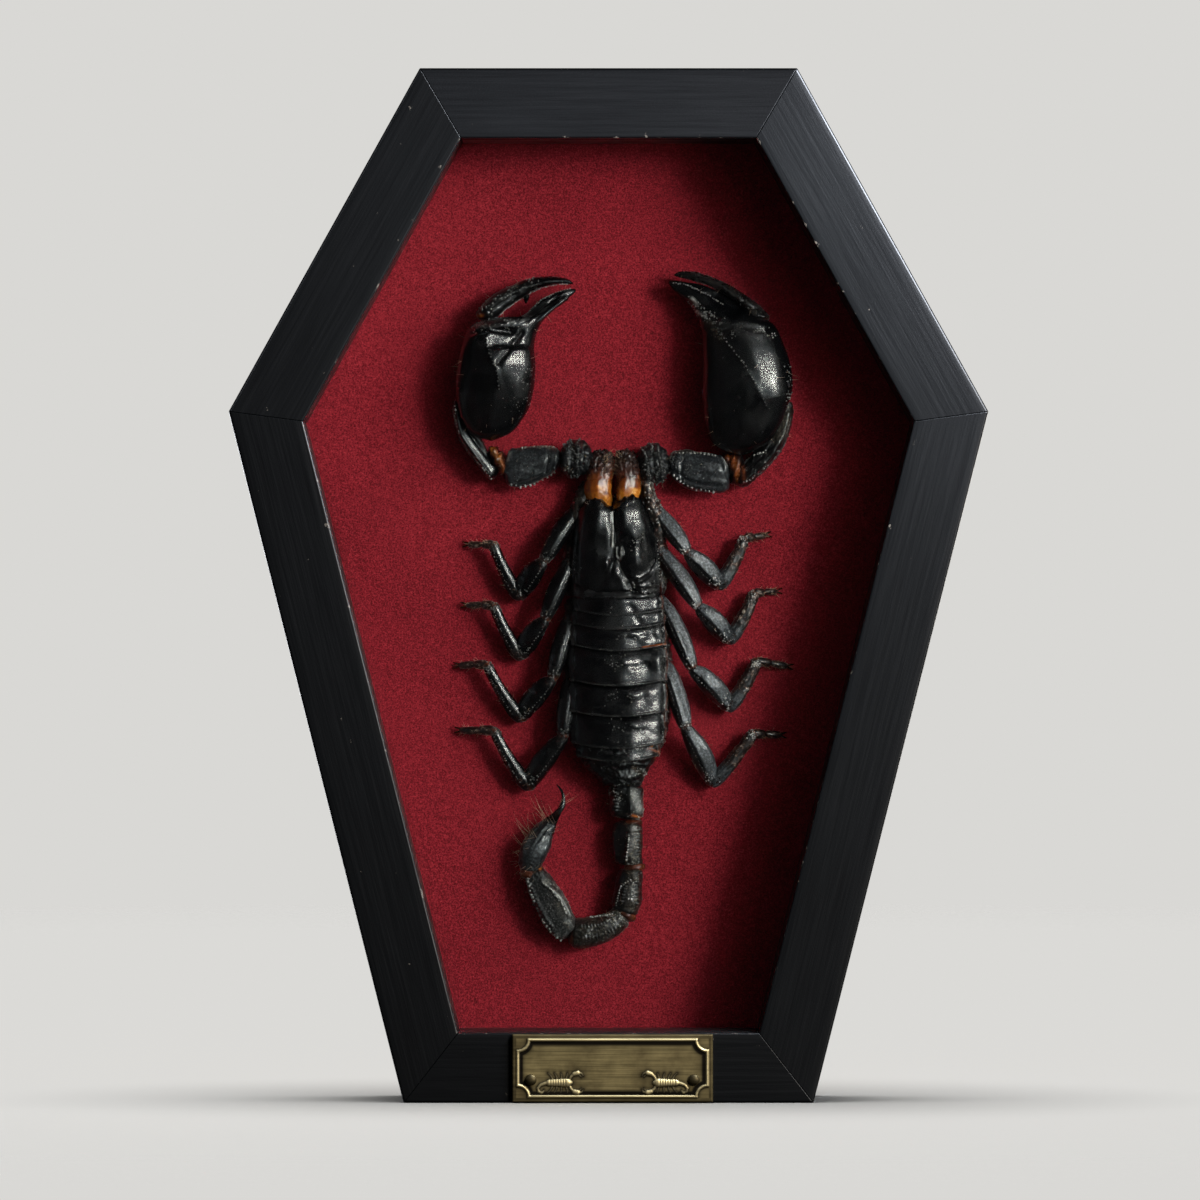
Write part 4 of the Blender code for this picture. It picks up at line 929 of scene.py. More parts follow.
headShield = {
    "rows": [(-6.7, 20.8, 4.4, 21.2, 4.8, 2.6), (-7.3, 20.2, 4.8, 20.4, 4.8, 3.6),
        (-8.1, 18.6, 5.4, 18.8, 4.8, 4.5), (-8.9, 16.2, 6.3, 16.4, 4.8, 4.9),
        (-9.5, 13.1, 7.3, 13.3, 4.8, 5.1), (-9.9, 10.1, 8, 10.3, 4.8, 5.15),
        (-10.1, 6.9, 8.3, 7.3, 4.8, 5.0), (-10.1, 3.8, 8.5, 4, 4.8, 4.75), (-10, 1.6, 8.7, 1.8, 4.8, 4.6),
        (-9.7, -0.2, 8.5, 0.2, 4.8, 4.3)],
    "profile": [
        (0.0, [(-1, 0.5), (-0.75, 0.85), (-0.4, 1.04), (-0.08, 0.88), (0.03, 0.66), (0.14, 0.9),
            (0.3, 0.99), (0.85, 0.72), (1, 0.5)]),
        (0.26, [(-1, 0.45), (-0.75, 0.85), (-0.4, 1.02), (-0.08, 0.88), (0.04, 0.66), (0.14, 0.9),
            (0.28, 1.0), (0.85, 0.72), (1, 0.45)]),
        (0.4, [(-1, 0.4), (-0.75, 0.8), (-0.5, 0.94), (-0.1, 0.96), (0.04, 0.8), (0.16, 0.96), (0.5, 0.98),
            (0.8, 0.66), (1, 0.4)]),
        (0.55, [(-1, 0.4), (-0.75, 0.82), (-0.4, 0.98), (-0.1, 0.94), (0.06, 0.86), (0.2, 0.98),
            (0.52, 0.97), (0.8, 0.68), (1, 0.4)]),
        (1.0, [(-1, 0.4), (-0.75, 0.78), (-0.35, 0.97), (0.1, 1.0), (0.45, 0.92), (0.75, 0.68), (1, 0.35)]),
    ],
    "grid": (150, 190), "rounded": (0.8, 0.5),
    "startEdge": [(-1, 0.6), (-0.8, 0.1), (-0.5, 0), (-0.42, 0.1), (-0.24, 1.6), (0, 2.5), (0.24, 1.1),
        (0.41, 0), (0.65, -0.6), (0.93, 0), (1, 1)],
    "edgeReach": 4.0,
    "bulges": [
        ([(-1.2, 18.6), (-0.8, 14.1), (-0.6, 11.1)], 0.3, -0.4), ([(3.6, 11.9), (3.8, 11.5)], 0.7, 0.3),
        ([(-2.4, 7.1), (-2.4, 6.5)], 0.8, 0.3), ([(3, 8.5), (3.4, 7.7)], 2.4, 0.5),
        ([(0, 7.5), (0.6, 5.7), (1.8, 4), (3.2, 2)], 0.8, -0.6),
        ([(-1.4, 7.5), (-2.6, 4.6), (-4.3, 2.4)], 0.8, -0.5), ([(5, 2.6), (7.1, 3.2)], 1.2, 0.45),
    ],
    "ridges": [
        ([(-1.5, 17.8), (-1.3, 14.1), (-1.4, 11.1)], 0.22, 0.3), ([(-0.3, 17.8), (-0.1, 14.1)], 0.22, 0.3),
        ([(-0.5, 10.5), (-0.5, 8.7), (0.2, 8.1), (0.7, 8.9), (0.6, 10.5), (0, 11.5), (-0.5, 10.5)],
            0.24, 0.35),
        ([(-0.5, 9.9), (-0.4, 9.5)], 0.42, 0.5), ([(0.5, 9.7), (0.5, 9.3)], 0.42, 0.5),
        ([(7.7, 8.1), (6.5, 5.3), (4.2, 3.8), (2, 4)], 0.35, -0.5),
        ([(7.3, 7.7), (6, 5.5), (4.2, 4.4), (2.4, 4.6)], 0.3, 0.2),
        ([(0.4, 6.9), (1, 5.5), (2.2, 4), (3.6, 2), (4.6, 1.6)], 0.25, 0.25),
        ([(-2.6, 7.9), (-2.6, 5.9)], 0.7, 0.3),
        ([(-8.9, 2.6), (-3.9, 1.6), (1.2, 1.4), (7.3, 2.4)], 0.4, -0.3),
        ([(-9.1, 1), (-3.9, 0.2), (1.2, 0), (7.5, 0.8)], 0.4, 0.25),
        ([(-6.5, 20.2), (-6.3, 19.6)], 0.4, 0.45), ([(-4.9, 20.6), (-4.7, 20)], 0.4, 0.4),
        ([(1.2, 20.6), (1.4, 19.8)], 0.4, 0.4), ([(2.6, 21.2), (2.8, 20.4)], 0.4, 0.45),
        ([(5.4, 19.2), (7.3, 13.7), (7.9, 8.1), (8.1, 3)], 0.3, 0.3),
        ([(-8.7, 14.1), (-9.3, 8.1), (-9.3, 2)], 0.3, 0.25),
    ],
    "zones": [
        ("membrane", "line", [(5.8, 19.2), (7.5, 14.5), (8.1, 10.1)], 0.3, 0.7),
        ("membrane", "line", [(8.3, 8.1), (8.5, 2)], 0.3, 0.5),
        # Pale lines along the furrow and round the eyes: painted highlights
        ("frost", "line", [(-1.5, 17.6), (-1.3, 14.1), (-1.3, 10.9)], 0.16, 0.55),
        ("frost", "line", [(-0.5, 10.5), (-0.4, 8.9), (0.2, 8.3), (0.7, 9.1), (0.5, 10.5)], 0.16, 0.5),
        ("frost", "line", [(-0.3, 8.1), (0.4, 6.1), (1.6, 4)], 0.14, 0.4),
        ("dull", "line", [(2.2, 3.4), (7.3, 2.2)], 1.6, 0.5),
        ("dull", "line", [(-6.3, 1.4), (5.2, 1)], 0.7, 0.5),
    ],
    "folds": [(40, 1.0, 0.3, "dull")], "grains": [(0.6, 0.22, "dull")], "waves": [(3.6, 0.1), (1.3, 0.02)],
    # Pale granule tips: painted glints
    "studs": [
        scattered([(3, 10.5), (4.6, 12.5)], 0.8, 16, radius=0.13, frost=0.25),
        scattered([(3, 3.2), (7.3, 2)], 1.2, 24, radius=0.16, frost=0.3),
        scattered([(-8.7, 17.8), (-9.5, 2)], 0.7, 50, radius=0.16),
        beaded([(5.2, 20.2), (7.5, 14.1), (8.3, 4)], 0.7, radius=0.15, frost=0.4),
    ],
    "bristles": [scattered([(-7.1, 20.4), (-3.9, 19.8), (4.8, 20.8)], 0.9, 24, lean=(0, 0.8, 0.2))],
}
# The soft flanks beside the shield, where the legs' hips are: wrinkled and granular, paler on the lit right
# side, where more pale speckle and pale granule tips are painted light
cheeks = {
    "right": {
        "rows": [(4.4, 25.5, 6, 25.7, 3.4, 1.4), (4.4, 23.8, 6.7, 24.2, 3.6, 2.4),
            (4.6, 21.2, 7.5, 21.6, 3.7, 2.8), (5.2, 18.2, 8.5, 18.6, 3.7, 2.9),
            (6.3, 15.2, 9.1, 15.6, 3.6, 2.7), (6.7, 11.7, 9.5, 11.9, 3.4, 2.3),
            (7.1, 8.1, 9.9, 8.3, 3.2, 2.0), (7.3, 4, 9.7, 4, 3.1, 1.8), (7.5, 0.8, 9.1, 0.8, 3.0, 1.4)],
        "speckle": 0.3,
        "zones": [
            ("speckle", "line", [(5.4, 24.2), (7.1, 19.2), (8.5, 15.2)], 0.8, 0.75),
            ("dull", "ramp", [(0, 0.6), (1, 0.8)]),
        ],
        "ridges": [
            ([(5.2, 21), (8.7, 19.8)], 0.3, 0.5), ([(5.8, 18.6), (9.1, 17.4)], 0.3, 0.5),
            ([(6.7, 16.2), (9.1, 14.7)], 0.3, 0.45), ([(7.5, 10.5), (9.7, 11.1)], 0.3, -0.5),
        ],
        "studs": [
            scattered([(5.4, 24.6), (7.3, 19.2), (8.7, 14.9)], 1.4, 120, radius=0.17, frost=0.6),
            scattered([(8.7, 12.1), (9.3, 2)], 1.0, 60, radius=0.16, frost=0.5),
        ],
    },
    "left": {
        "rows": [(-7.3, 24.2, -5.5, 24, 3.4, 1.3), (-8.3, 22.2, -5.7, 21.8, 3.6, 2.3),
            (-9.3, 19.6, -6.3, 19.2, 3.6, 2.6), (-10.1, 16.6, -7.1, 16.2, 3.5, 2.6),
            (-10.7, 13.1, -7.9, 12.9, 3.3, 2.3), (-11.1, 9.1, -8.5, 8.9, 3.1, 2.0),
            (-11.1, 4.8, -8.9, 4.6, 3.0, 1.8), (-10.9, 0.8, -9.1, 0.8, 3.0, 1.4)],
        "speckle": 0.12,
        "zones": [
            ("dull", "ramp", [(0, 0.7), (1, 0.9)]), ("tan", "line", [(-7.9, 22.2), (-9.7, 16.2)], 0.7, 0.5),
        ],
        "ridges": [
            ([(-9.1, 20.2), (-6.3, 18.8)], 0.3, 0.4), ([(-9.9, 17.2), (-7.1, 15.8)], 0.3, 0.4),
            ([(-10.7, 12.1), (-8.3, 11.5)], 0.3, -0.4),
        ],
        "studs": [scattered([(-7.9, 21.8), (-10.3, 12.1), (-10.7, 2)], 1.2, 90, radius=0.17, tan=0.7)],
    },
}
jaws = {
    "left": {
        "rows": [(-5.7, 18.8, -1.6, 18.2, 4.6, 2.0), (-6.7, 20.4, -1.4, 20, 5.0, 2.9),
            (-7.1, 22.2, -1.4, 22.2, 5.2, 3.0), (-6.9, 24, -1.4, 24.2, 5.2, 2.8),
            (-6.3, 25.9, -1.3, 26.1, 5.0, 2.45), (-6.1, 27.5, -1.3, 27.7, 4.8, 1.9),
            (-5.7, 28.9, -1.4, 29.1, 4.5, 1.4), (-4.9, 30.1, -2, 30.3, 4.1, 0.9)],
        "profile": [
            (0.5, [(-1, 0.45), (-0.5, 0.9), (-0.05, 1.0), (0.8, 0.76), (1, 0.5)]),
            (0.64, [(-1, 0.6), (-0.6, 0.9), (0, 1), (0.6, 0.9), (1, 0.6)]),
        ],
        "zones": [
            ("membrane", "ramp", [(0, 0.95), (0.35, 0.85), (0.52, 0.62), (0.68, 0.42), (0.8, 0.32),
                (1, 0.3)]),
            ("membrane", "line", [(-4.3, 22.8), (-2.2, 21.8)], 0.9, 1.0),
            ("dull", "ramp", [(0, 0.1), (0.45, 0.1), (0.6, 0.9), (1, 1.0)]),
        ],
        "grains": [(0.6, 0.5, "dull")],
        "studs": [
            scattered([(-5.5, 27.1), (-4.3, 29.5), (-2.6, 29.9)],
                1.6, 60, radius=0.2, tall=1.4, membrane=0.25),
        ],
        "bristles": [
            scattered([(-2.6, 25.9), (-2.4, 28.7)], 0.8, 60, length=(0.8, 1.8),
                radius=0.06, lean=(0.7, 0.8, 0.4)),
        ],
        "fingers": [[(-5.0, 26.9, 4.8), (-4.3, 29.2, 4.5), (-3.0, 30.4, 4.1)], [(-2.9, 27.0, 4.7),
            (-2.5, 28.9, 4.4), (-2.0, 29.9, 4.0)]],
    },
    "right": {
        "rows": [(-0.6, 19, 3.4, 19, 4.6, 2.0), (-0.6, 20.6, 4, 20.6, 5.0, 2.9),
            (-0.8, 22.2, 4.4, 22.2, 5.2, 3.0), (-0.6, 24.2, 4.4, 24.2, 5.2, 2.8),
            (-0.7, 25.9, 4.2, 25.9, 5.0, 2.45), (-0.7, 27.5, 4, 27.5, 4.8, 1.9),
            (-0.6, 28.9, 3.2, 29.1, 4.5, 1.4), (-0.2, 30.1, 2.2, 30.3, 4.1, 0.9)],
        "profile": [
            (0.5, [(-1, 0.45), (-0.7, 0.9), (-0.3, 1.0), (0.5, 0.78), (1, 0.45)]),
            (0.64, [(-1, 0.6), (-0.6, 0.9), (0, 1), (0.6, 0.9), (1, 0.6)]),
        ],
        "zones": [
            ("membrane", "ramp", [(0, 0.95), (0.3, 0.82), (0.48, 0.58), (0.65, 0.4), (0.8, 0.3),
                (1, 0.28)]),
            ("membrane", "line", [(2.2, 22.6), (3.6, 22.2)], 0.8, 1.0),
            ("dull", "ramp", [(0, 0.1), (0.45, 0.1), (0.6, 0.9), (1, 1.0)]),
        ],
        "grains": [(0.6, 0.5, "dull")],
        "studs": [
            scattered([(3.8, 27.1), (2.2, 29.5), (0.2, 29.9)],
                1.6, 60, radius=0.2, tall=1.4, membrane=0.25),
        ],
        "bristles": [
            scattered([(-0.2, 26.3), (0, 28.7)], 0.8, 34, length=(0.8, 1.7),
                radius=0.06, lean=(-0.5, 0.9, 0.4)),
        ],
        "fingers": [[(3.3, 26.9, 4.8), (2.5, 29.2, 4.5), (0.9, 30.5, 4.1)], [(1.0, 27.0, 4.7),
            (0.3, 29.0, 4.4), (-0.6, 30.2, 4.0)]],
    },
}
headPatches = grown(headShield, 1)
soft = {
    "grid": (76, 48), "rounded": (0.8, 0.8), "folds": [(20, 0.8, 0.35, None)],
    "grains": [(0.5, 0.25, None)], "waves": [(1.6, 0.15)],
}
jawFinger = {
    "grid": (36, 30), "dull": 0.6, "membrane": 0.25, "grains": [(0.4, 0.12, None)], "rounded": (0.5, 0.2),
}
for sideName in ("left", "right"):
    headPatches += grown({**soft, **cheeks[sideName]}, 2)
    jaw = jaws[sideName]
    headPatches += grown({"grid": (80, 72), "rounded": (1.0, 0.8), "waves": [(2.2, 0.05)], **jaw}, 4)
    for stations in jaw["fingers"]:  # knuckle, middle and tip
        widths = zip(stations, (0.75, 0.5, 0.14), (0.9, 0.7, 0.2))
        rows = [(u - half, w, u + half, w, height, rise) for (u, w, height), half, rise in widths]
        headPatches += grown({**jawFinger, "rows": rows})
makePiece("headShield", headPatches, [cuticle, bristle], ["scorpion_body"])
print("head made")

# Seven back plates; each runs out from under the one in front, with soft wrinkled flanks at both sides. The
# height across a plate is broad for the four in front, and for the rest the facet that shines is narrower
backPlates = {
    "ends": (1.0, -2.1, -4.9, -9.2, -16.3, -22.5, -28.9, -31.6),
    "halfWidths": (9.2, 9.5, 9.8, 10.0, 10.0, 9.6, 8.5), "middle": -0.2, "height": 4.8,
    "broad": [(-1, 0.55), (-0.8, 0.7), (-0.5, 0.92), (-0.2, 1.0), (0.1, 0.98), (0.42, 0.82), (0.68, 0.69),
        (1, 0.64)],
    "narrow": [(-1, 0.55), (-0.8, 0.72), (-0.5, 0.92), (-0.15, 1.0), (0.22, 1.0), (0.34, 0.97),
        (0.52, 0.85), (0.68, 0.7), (1, 0.55)],
    "dents": [
        [([(2.2, -1.2), (3, -2.2)], 0.6, -0.12)], [([(3.4, -3.6), (4.2, -4.6)], 0.6, -0.12)],
        [([(2.6, -6.7), (5.2, -8.3)], 0.7, 0.16), ([(6.7, -6.9), (7.5, -8.1)], 0.6, -0.12)],
        [
            ([(3.4, -11.3), (5.8, -13.7)], 0.9, -0.16), ([(1, -12.5), (2.6, -14.5)], 0.9, 0.16),
            ([(7.5, -12.1), (8.3, -14.5)], 0.8, 0.12),
        ],
        [([(1, -18.2), (3.4, -19.8)], 0.8, 0.14), ([(5.8, -17.8), (6.7, -20.6)], 0.7, -0.1)],
        [([(1.8, -24.2), (4.2, -25.9)], 0.8, 0.14)], [([(0.6, -29.1), (4.2, -29.9)], 0.6, 0.12)],
    ],
    "bow": 1.3,
    "speckles": [
        scattered([(-1.4, -1.8), (1.8, -2.4)], 0.8, 12), scattered([(-1.4, -4.2), (1.8, -5.1)], 0.8, 14),
        scattered([(-1, -7.7), (3, -8.3)], 0.9, 18), scattered([(-1.4, -12.5), (2.6, -13.7)], 1.5, 26),
        scattered([(-1.4, -19), (4.2, -20.2)], 1.5, 26), scattered([(-1.4, -25.5), (4.2, -26.7)], 1.5, 24),
        scattered([(-5.9, -29.9), (7.3, -30.3)], 1.0, 40),
    ],
}


def platesOfBack():
    b = backPlates
    patches = []
    for k, half in enumerate(b["halfWidths"]):
        start, end = b["ends"][k : k + 2]
        length = start - end
        long = length > 3.5
        left, right = b["middle"] - half, b["middle"] + half
        crown = 4.2 + 0.13 * length
        # Distance in from both edges, place along the plate and rise
        stations = (
            (0.8, start + 1.3, 3.8), (0.35, start + 0.4, 3.9),
            (0, start - 0.3 * length, 4.15 + 0.1 * length), (-0.05, start - 0.65 * length, crown),
            (-0.05, end + 0.25, crown), (0, end - 0.1, 4.0 + 0.13 * length),
        )
        rows = [(left + x, w, right - x, w, b["height"], rise) for x, w, rise in stations]
        spots = np.linspace(-0.97, 0.97, 11)
        rim = [(b["middle"] + x * half, end + 0.45 - b["bow"] * (1 - x * x)) for x in spots]
        front = [(u, w + length * 0.5) for u, w in rim[2:-2]]
        nearFront, halfway, nearEnd = start - 0.1 * length, start - 0.5 * length, end + 0.3
        edgeLeft = [(left + 0.7, nearFront), (left + 0.25, halfway), (left + 0.8, nearEnd)]
        edgeRight = [(right - 0.6, nearFront), (right - 0.2, halfway), (right - 0.6, nearEnd)]
        # The pale line along the rim and the pale granule tips are painted highlights
        zones = [
            ("dull", "line", edgeLeft, 0.6, 0.6), ("dull", "line", edgeRight, 0.4, 0.5),
            ("membrane", "line", edgeRight, 0.22, 0.5), ("frost", "line", rim, 0.13, 0.04),
        ]
        ridges = [(rim, 0.22, 0.3), (edgeLeft, 0.25, 0.4), (edgeRight, 0.25, 0.3)]
        if long:
            ridges += [(front, 0.6, -0.12)]
        if k == 2:
            zones += [("membrane", "line", [(4.6, -9.5), (9.9, -8.7)], 0.26, 0.7)]
        if k == 6:
            zones += [("membrane", "line", [(5.8, -29.9), (7.9, -30.7)], 0.6, 0.6)]
        shape = {
            "rows": rows, "grid": (38 + 18 * long, 150), "rounded": (0.5, 0.35),
            "profile": [(place, b["broad"] if k < 4 else b["narrow"]) for place in (0, 1)],
            "bulges": b["dents"][k], "endEdge": bow(b["bow"]), "startEdge": bow(b["bow"] * 0.9),
            "edgeReach": length * 0.8, "ridges": ridges, "zones": zones, "grains": [(0.5, 0.18, "dull")],
            "waves": [(4.0, 0.12)],
            "studs": [
                {"radius": 0.12, "tall": 0.5, "frost": 0.2, **b["speckles"][k]},
                scattered(edgeRight, 0.35, int(4 * length), radius=0.14, frost=0.3),
            ],
        }
        patches += grown(shape, 40 + 5 * k)
    return patches


# The flanks along the back: the lit right one gets more pale speckle and paler granule tips than the left,
# which is painted light
flanks = {
    "right": {
        "rows": [(7.3, 0.4, 9.1, 0.4, 3.0, 1.5), (7.5, -2, 9.7, -2, 3.0, 2.1),
            (7.9, -6.1, 10.1, -6.1, 3.0, 2.2), (8.3, -10.5, 10.5, -10.5, 3.0, 2.3),
            (8.5, -18.2, 10.7, -18.2, 3.0, 2.3), (8.3, -24.2, 10.1, -24.2, 3.0, 2.2),
            (7.3, -29.9, 8.7, -29.9, 3.0, 1.4)],
        "speckle": 0.45,
        "studs": [
            scattered([(9.9, -2.4), (10.5, -10.1), (10.5, -18.2), (9.9, -25.2)],
                0.5, 110, radius=0.17, frost=0.5),
        ],
    },
    "left": {
        "rows": [(-10.7, 0.4, -8.7, 0.4, 3.0, 1.5), (-10.9, -3, -8.7, -3, 3.0, 2.1),
            (-11.1, -10.1, -8.9, -10.1, 3.0, 2.3), (-11.1, -18.2, -8.9, -18.2, 3.0, 2.3),
            (-10.5, -24.6, -8.5, -24.6, 3.0, 2.1), (-9.1, -29.9, -7.5, -29.9, 3.0, 1.4)],
        "speckle": 0.12,
        "studs": [
            scattered([(-10.5, -3), (-10.7, -10.1), (-10.7, -18.2), (-9.9, -24.6)],
                0.5, 110, radius=0.17, tan=0.7),
        ],
    },
}
# The last ring, rough and tapering, runs in under the tail
tailPlate = {
    "rows": [(-8.5, -28.5, 8.5, -28.9, 4.7, 4.4), (-8.3, -29.7, 8.3, -29.9, 4.7, 4.5),
        (-7.7, -31.7, 7.5, -31.9, 4.6, 4.2), (-6.3, -33.9, 6, -34.1, 4.5, 3.7),
        (-4.3, -35.8, 4.8, -36, 4.4, 3.1), (-2.8, -37.4, 4.2, -37.6, 4.3, 2.6)],
    "grid": (76, 120), "rounded": (0.5, 0.5), "dull": 0.35,
    "zones": [
        ("membrane", "line", [(6.3, -28.9), (7.7, -31.7)], 0.8, 0.95),
        ("tan", "line", [(3.2, -33.9), (5.4, -35.4)], 0.6, 0.9), ("dull", "ramp", [(0, 0.3), (1, 0.8)]),
    ],
    "ridges": [
        ([(-3.9, -30.9), (4.2, -31.1)], 0.5, 0.35), ([(-2.6, -34.3), (3, -34.3)], 0.9, -0.4),
        ([(-6.9, -30.7), (-5.5, -33.5), (-3.2, -36)], 0.4, 0.45, 0.6),
        ([(6.3, -32.3), (4.6, -34.7)], 0.35, 0.4), ([(-1.8, -32.5), (4.2, -32.7)], 0.4, -0.3),
    ],
    "folds": [(5, 0.9, 0.2, None)], "grains": [(0.5, 0.2, None), (1.3, 0.2, None)], "waves": [(1.6, 0.12)],
    "studs": [
        scattered([(3, -33.9), (5.4, -35.4)], 0.6, 24, radius=0.14, frost=0.5),
        scattered([(-1.4, -37), (4.2, -37.2)], 0.5, 24, radius=0.14, frost=0.4),
        scattered([(-5.9, -32.3), (4.2, -32.9)], 1.8, 60, radius=0.13, frost=0.1),
    ],
}
backPatches = [*platesOfBack(), *grown(tailPlate, 90)]
for sideName, flank in flanks.items():
    backPatches += grown({**soft, "grid": (120, 40), "dull": 0.7, **flank}, 95)
makePiece("backPlates", backPatches, [cuticle, bristle], ["scorpion_body"])
print("back made")
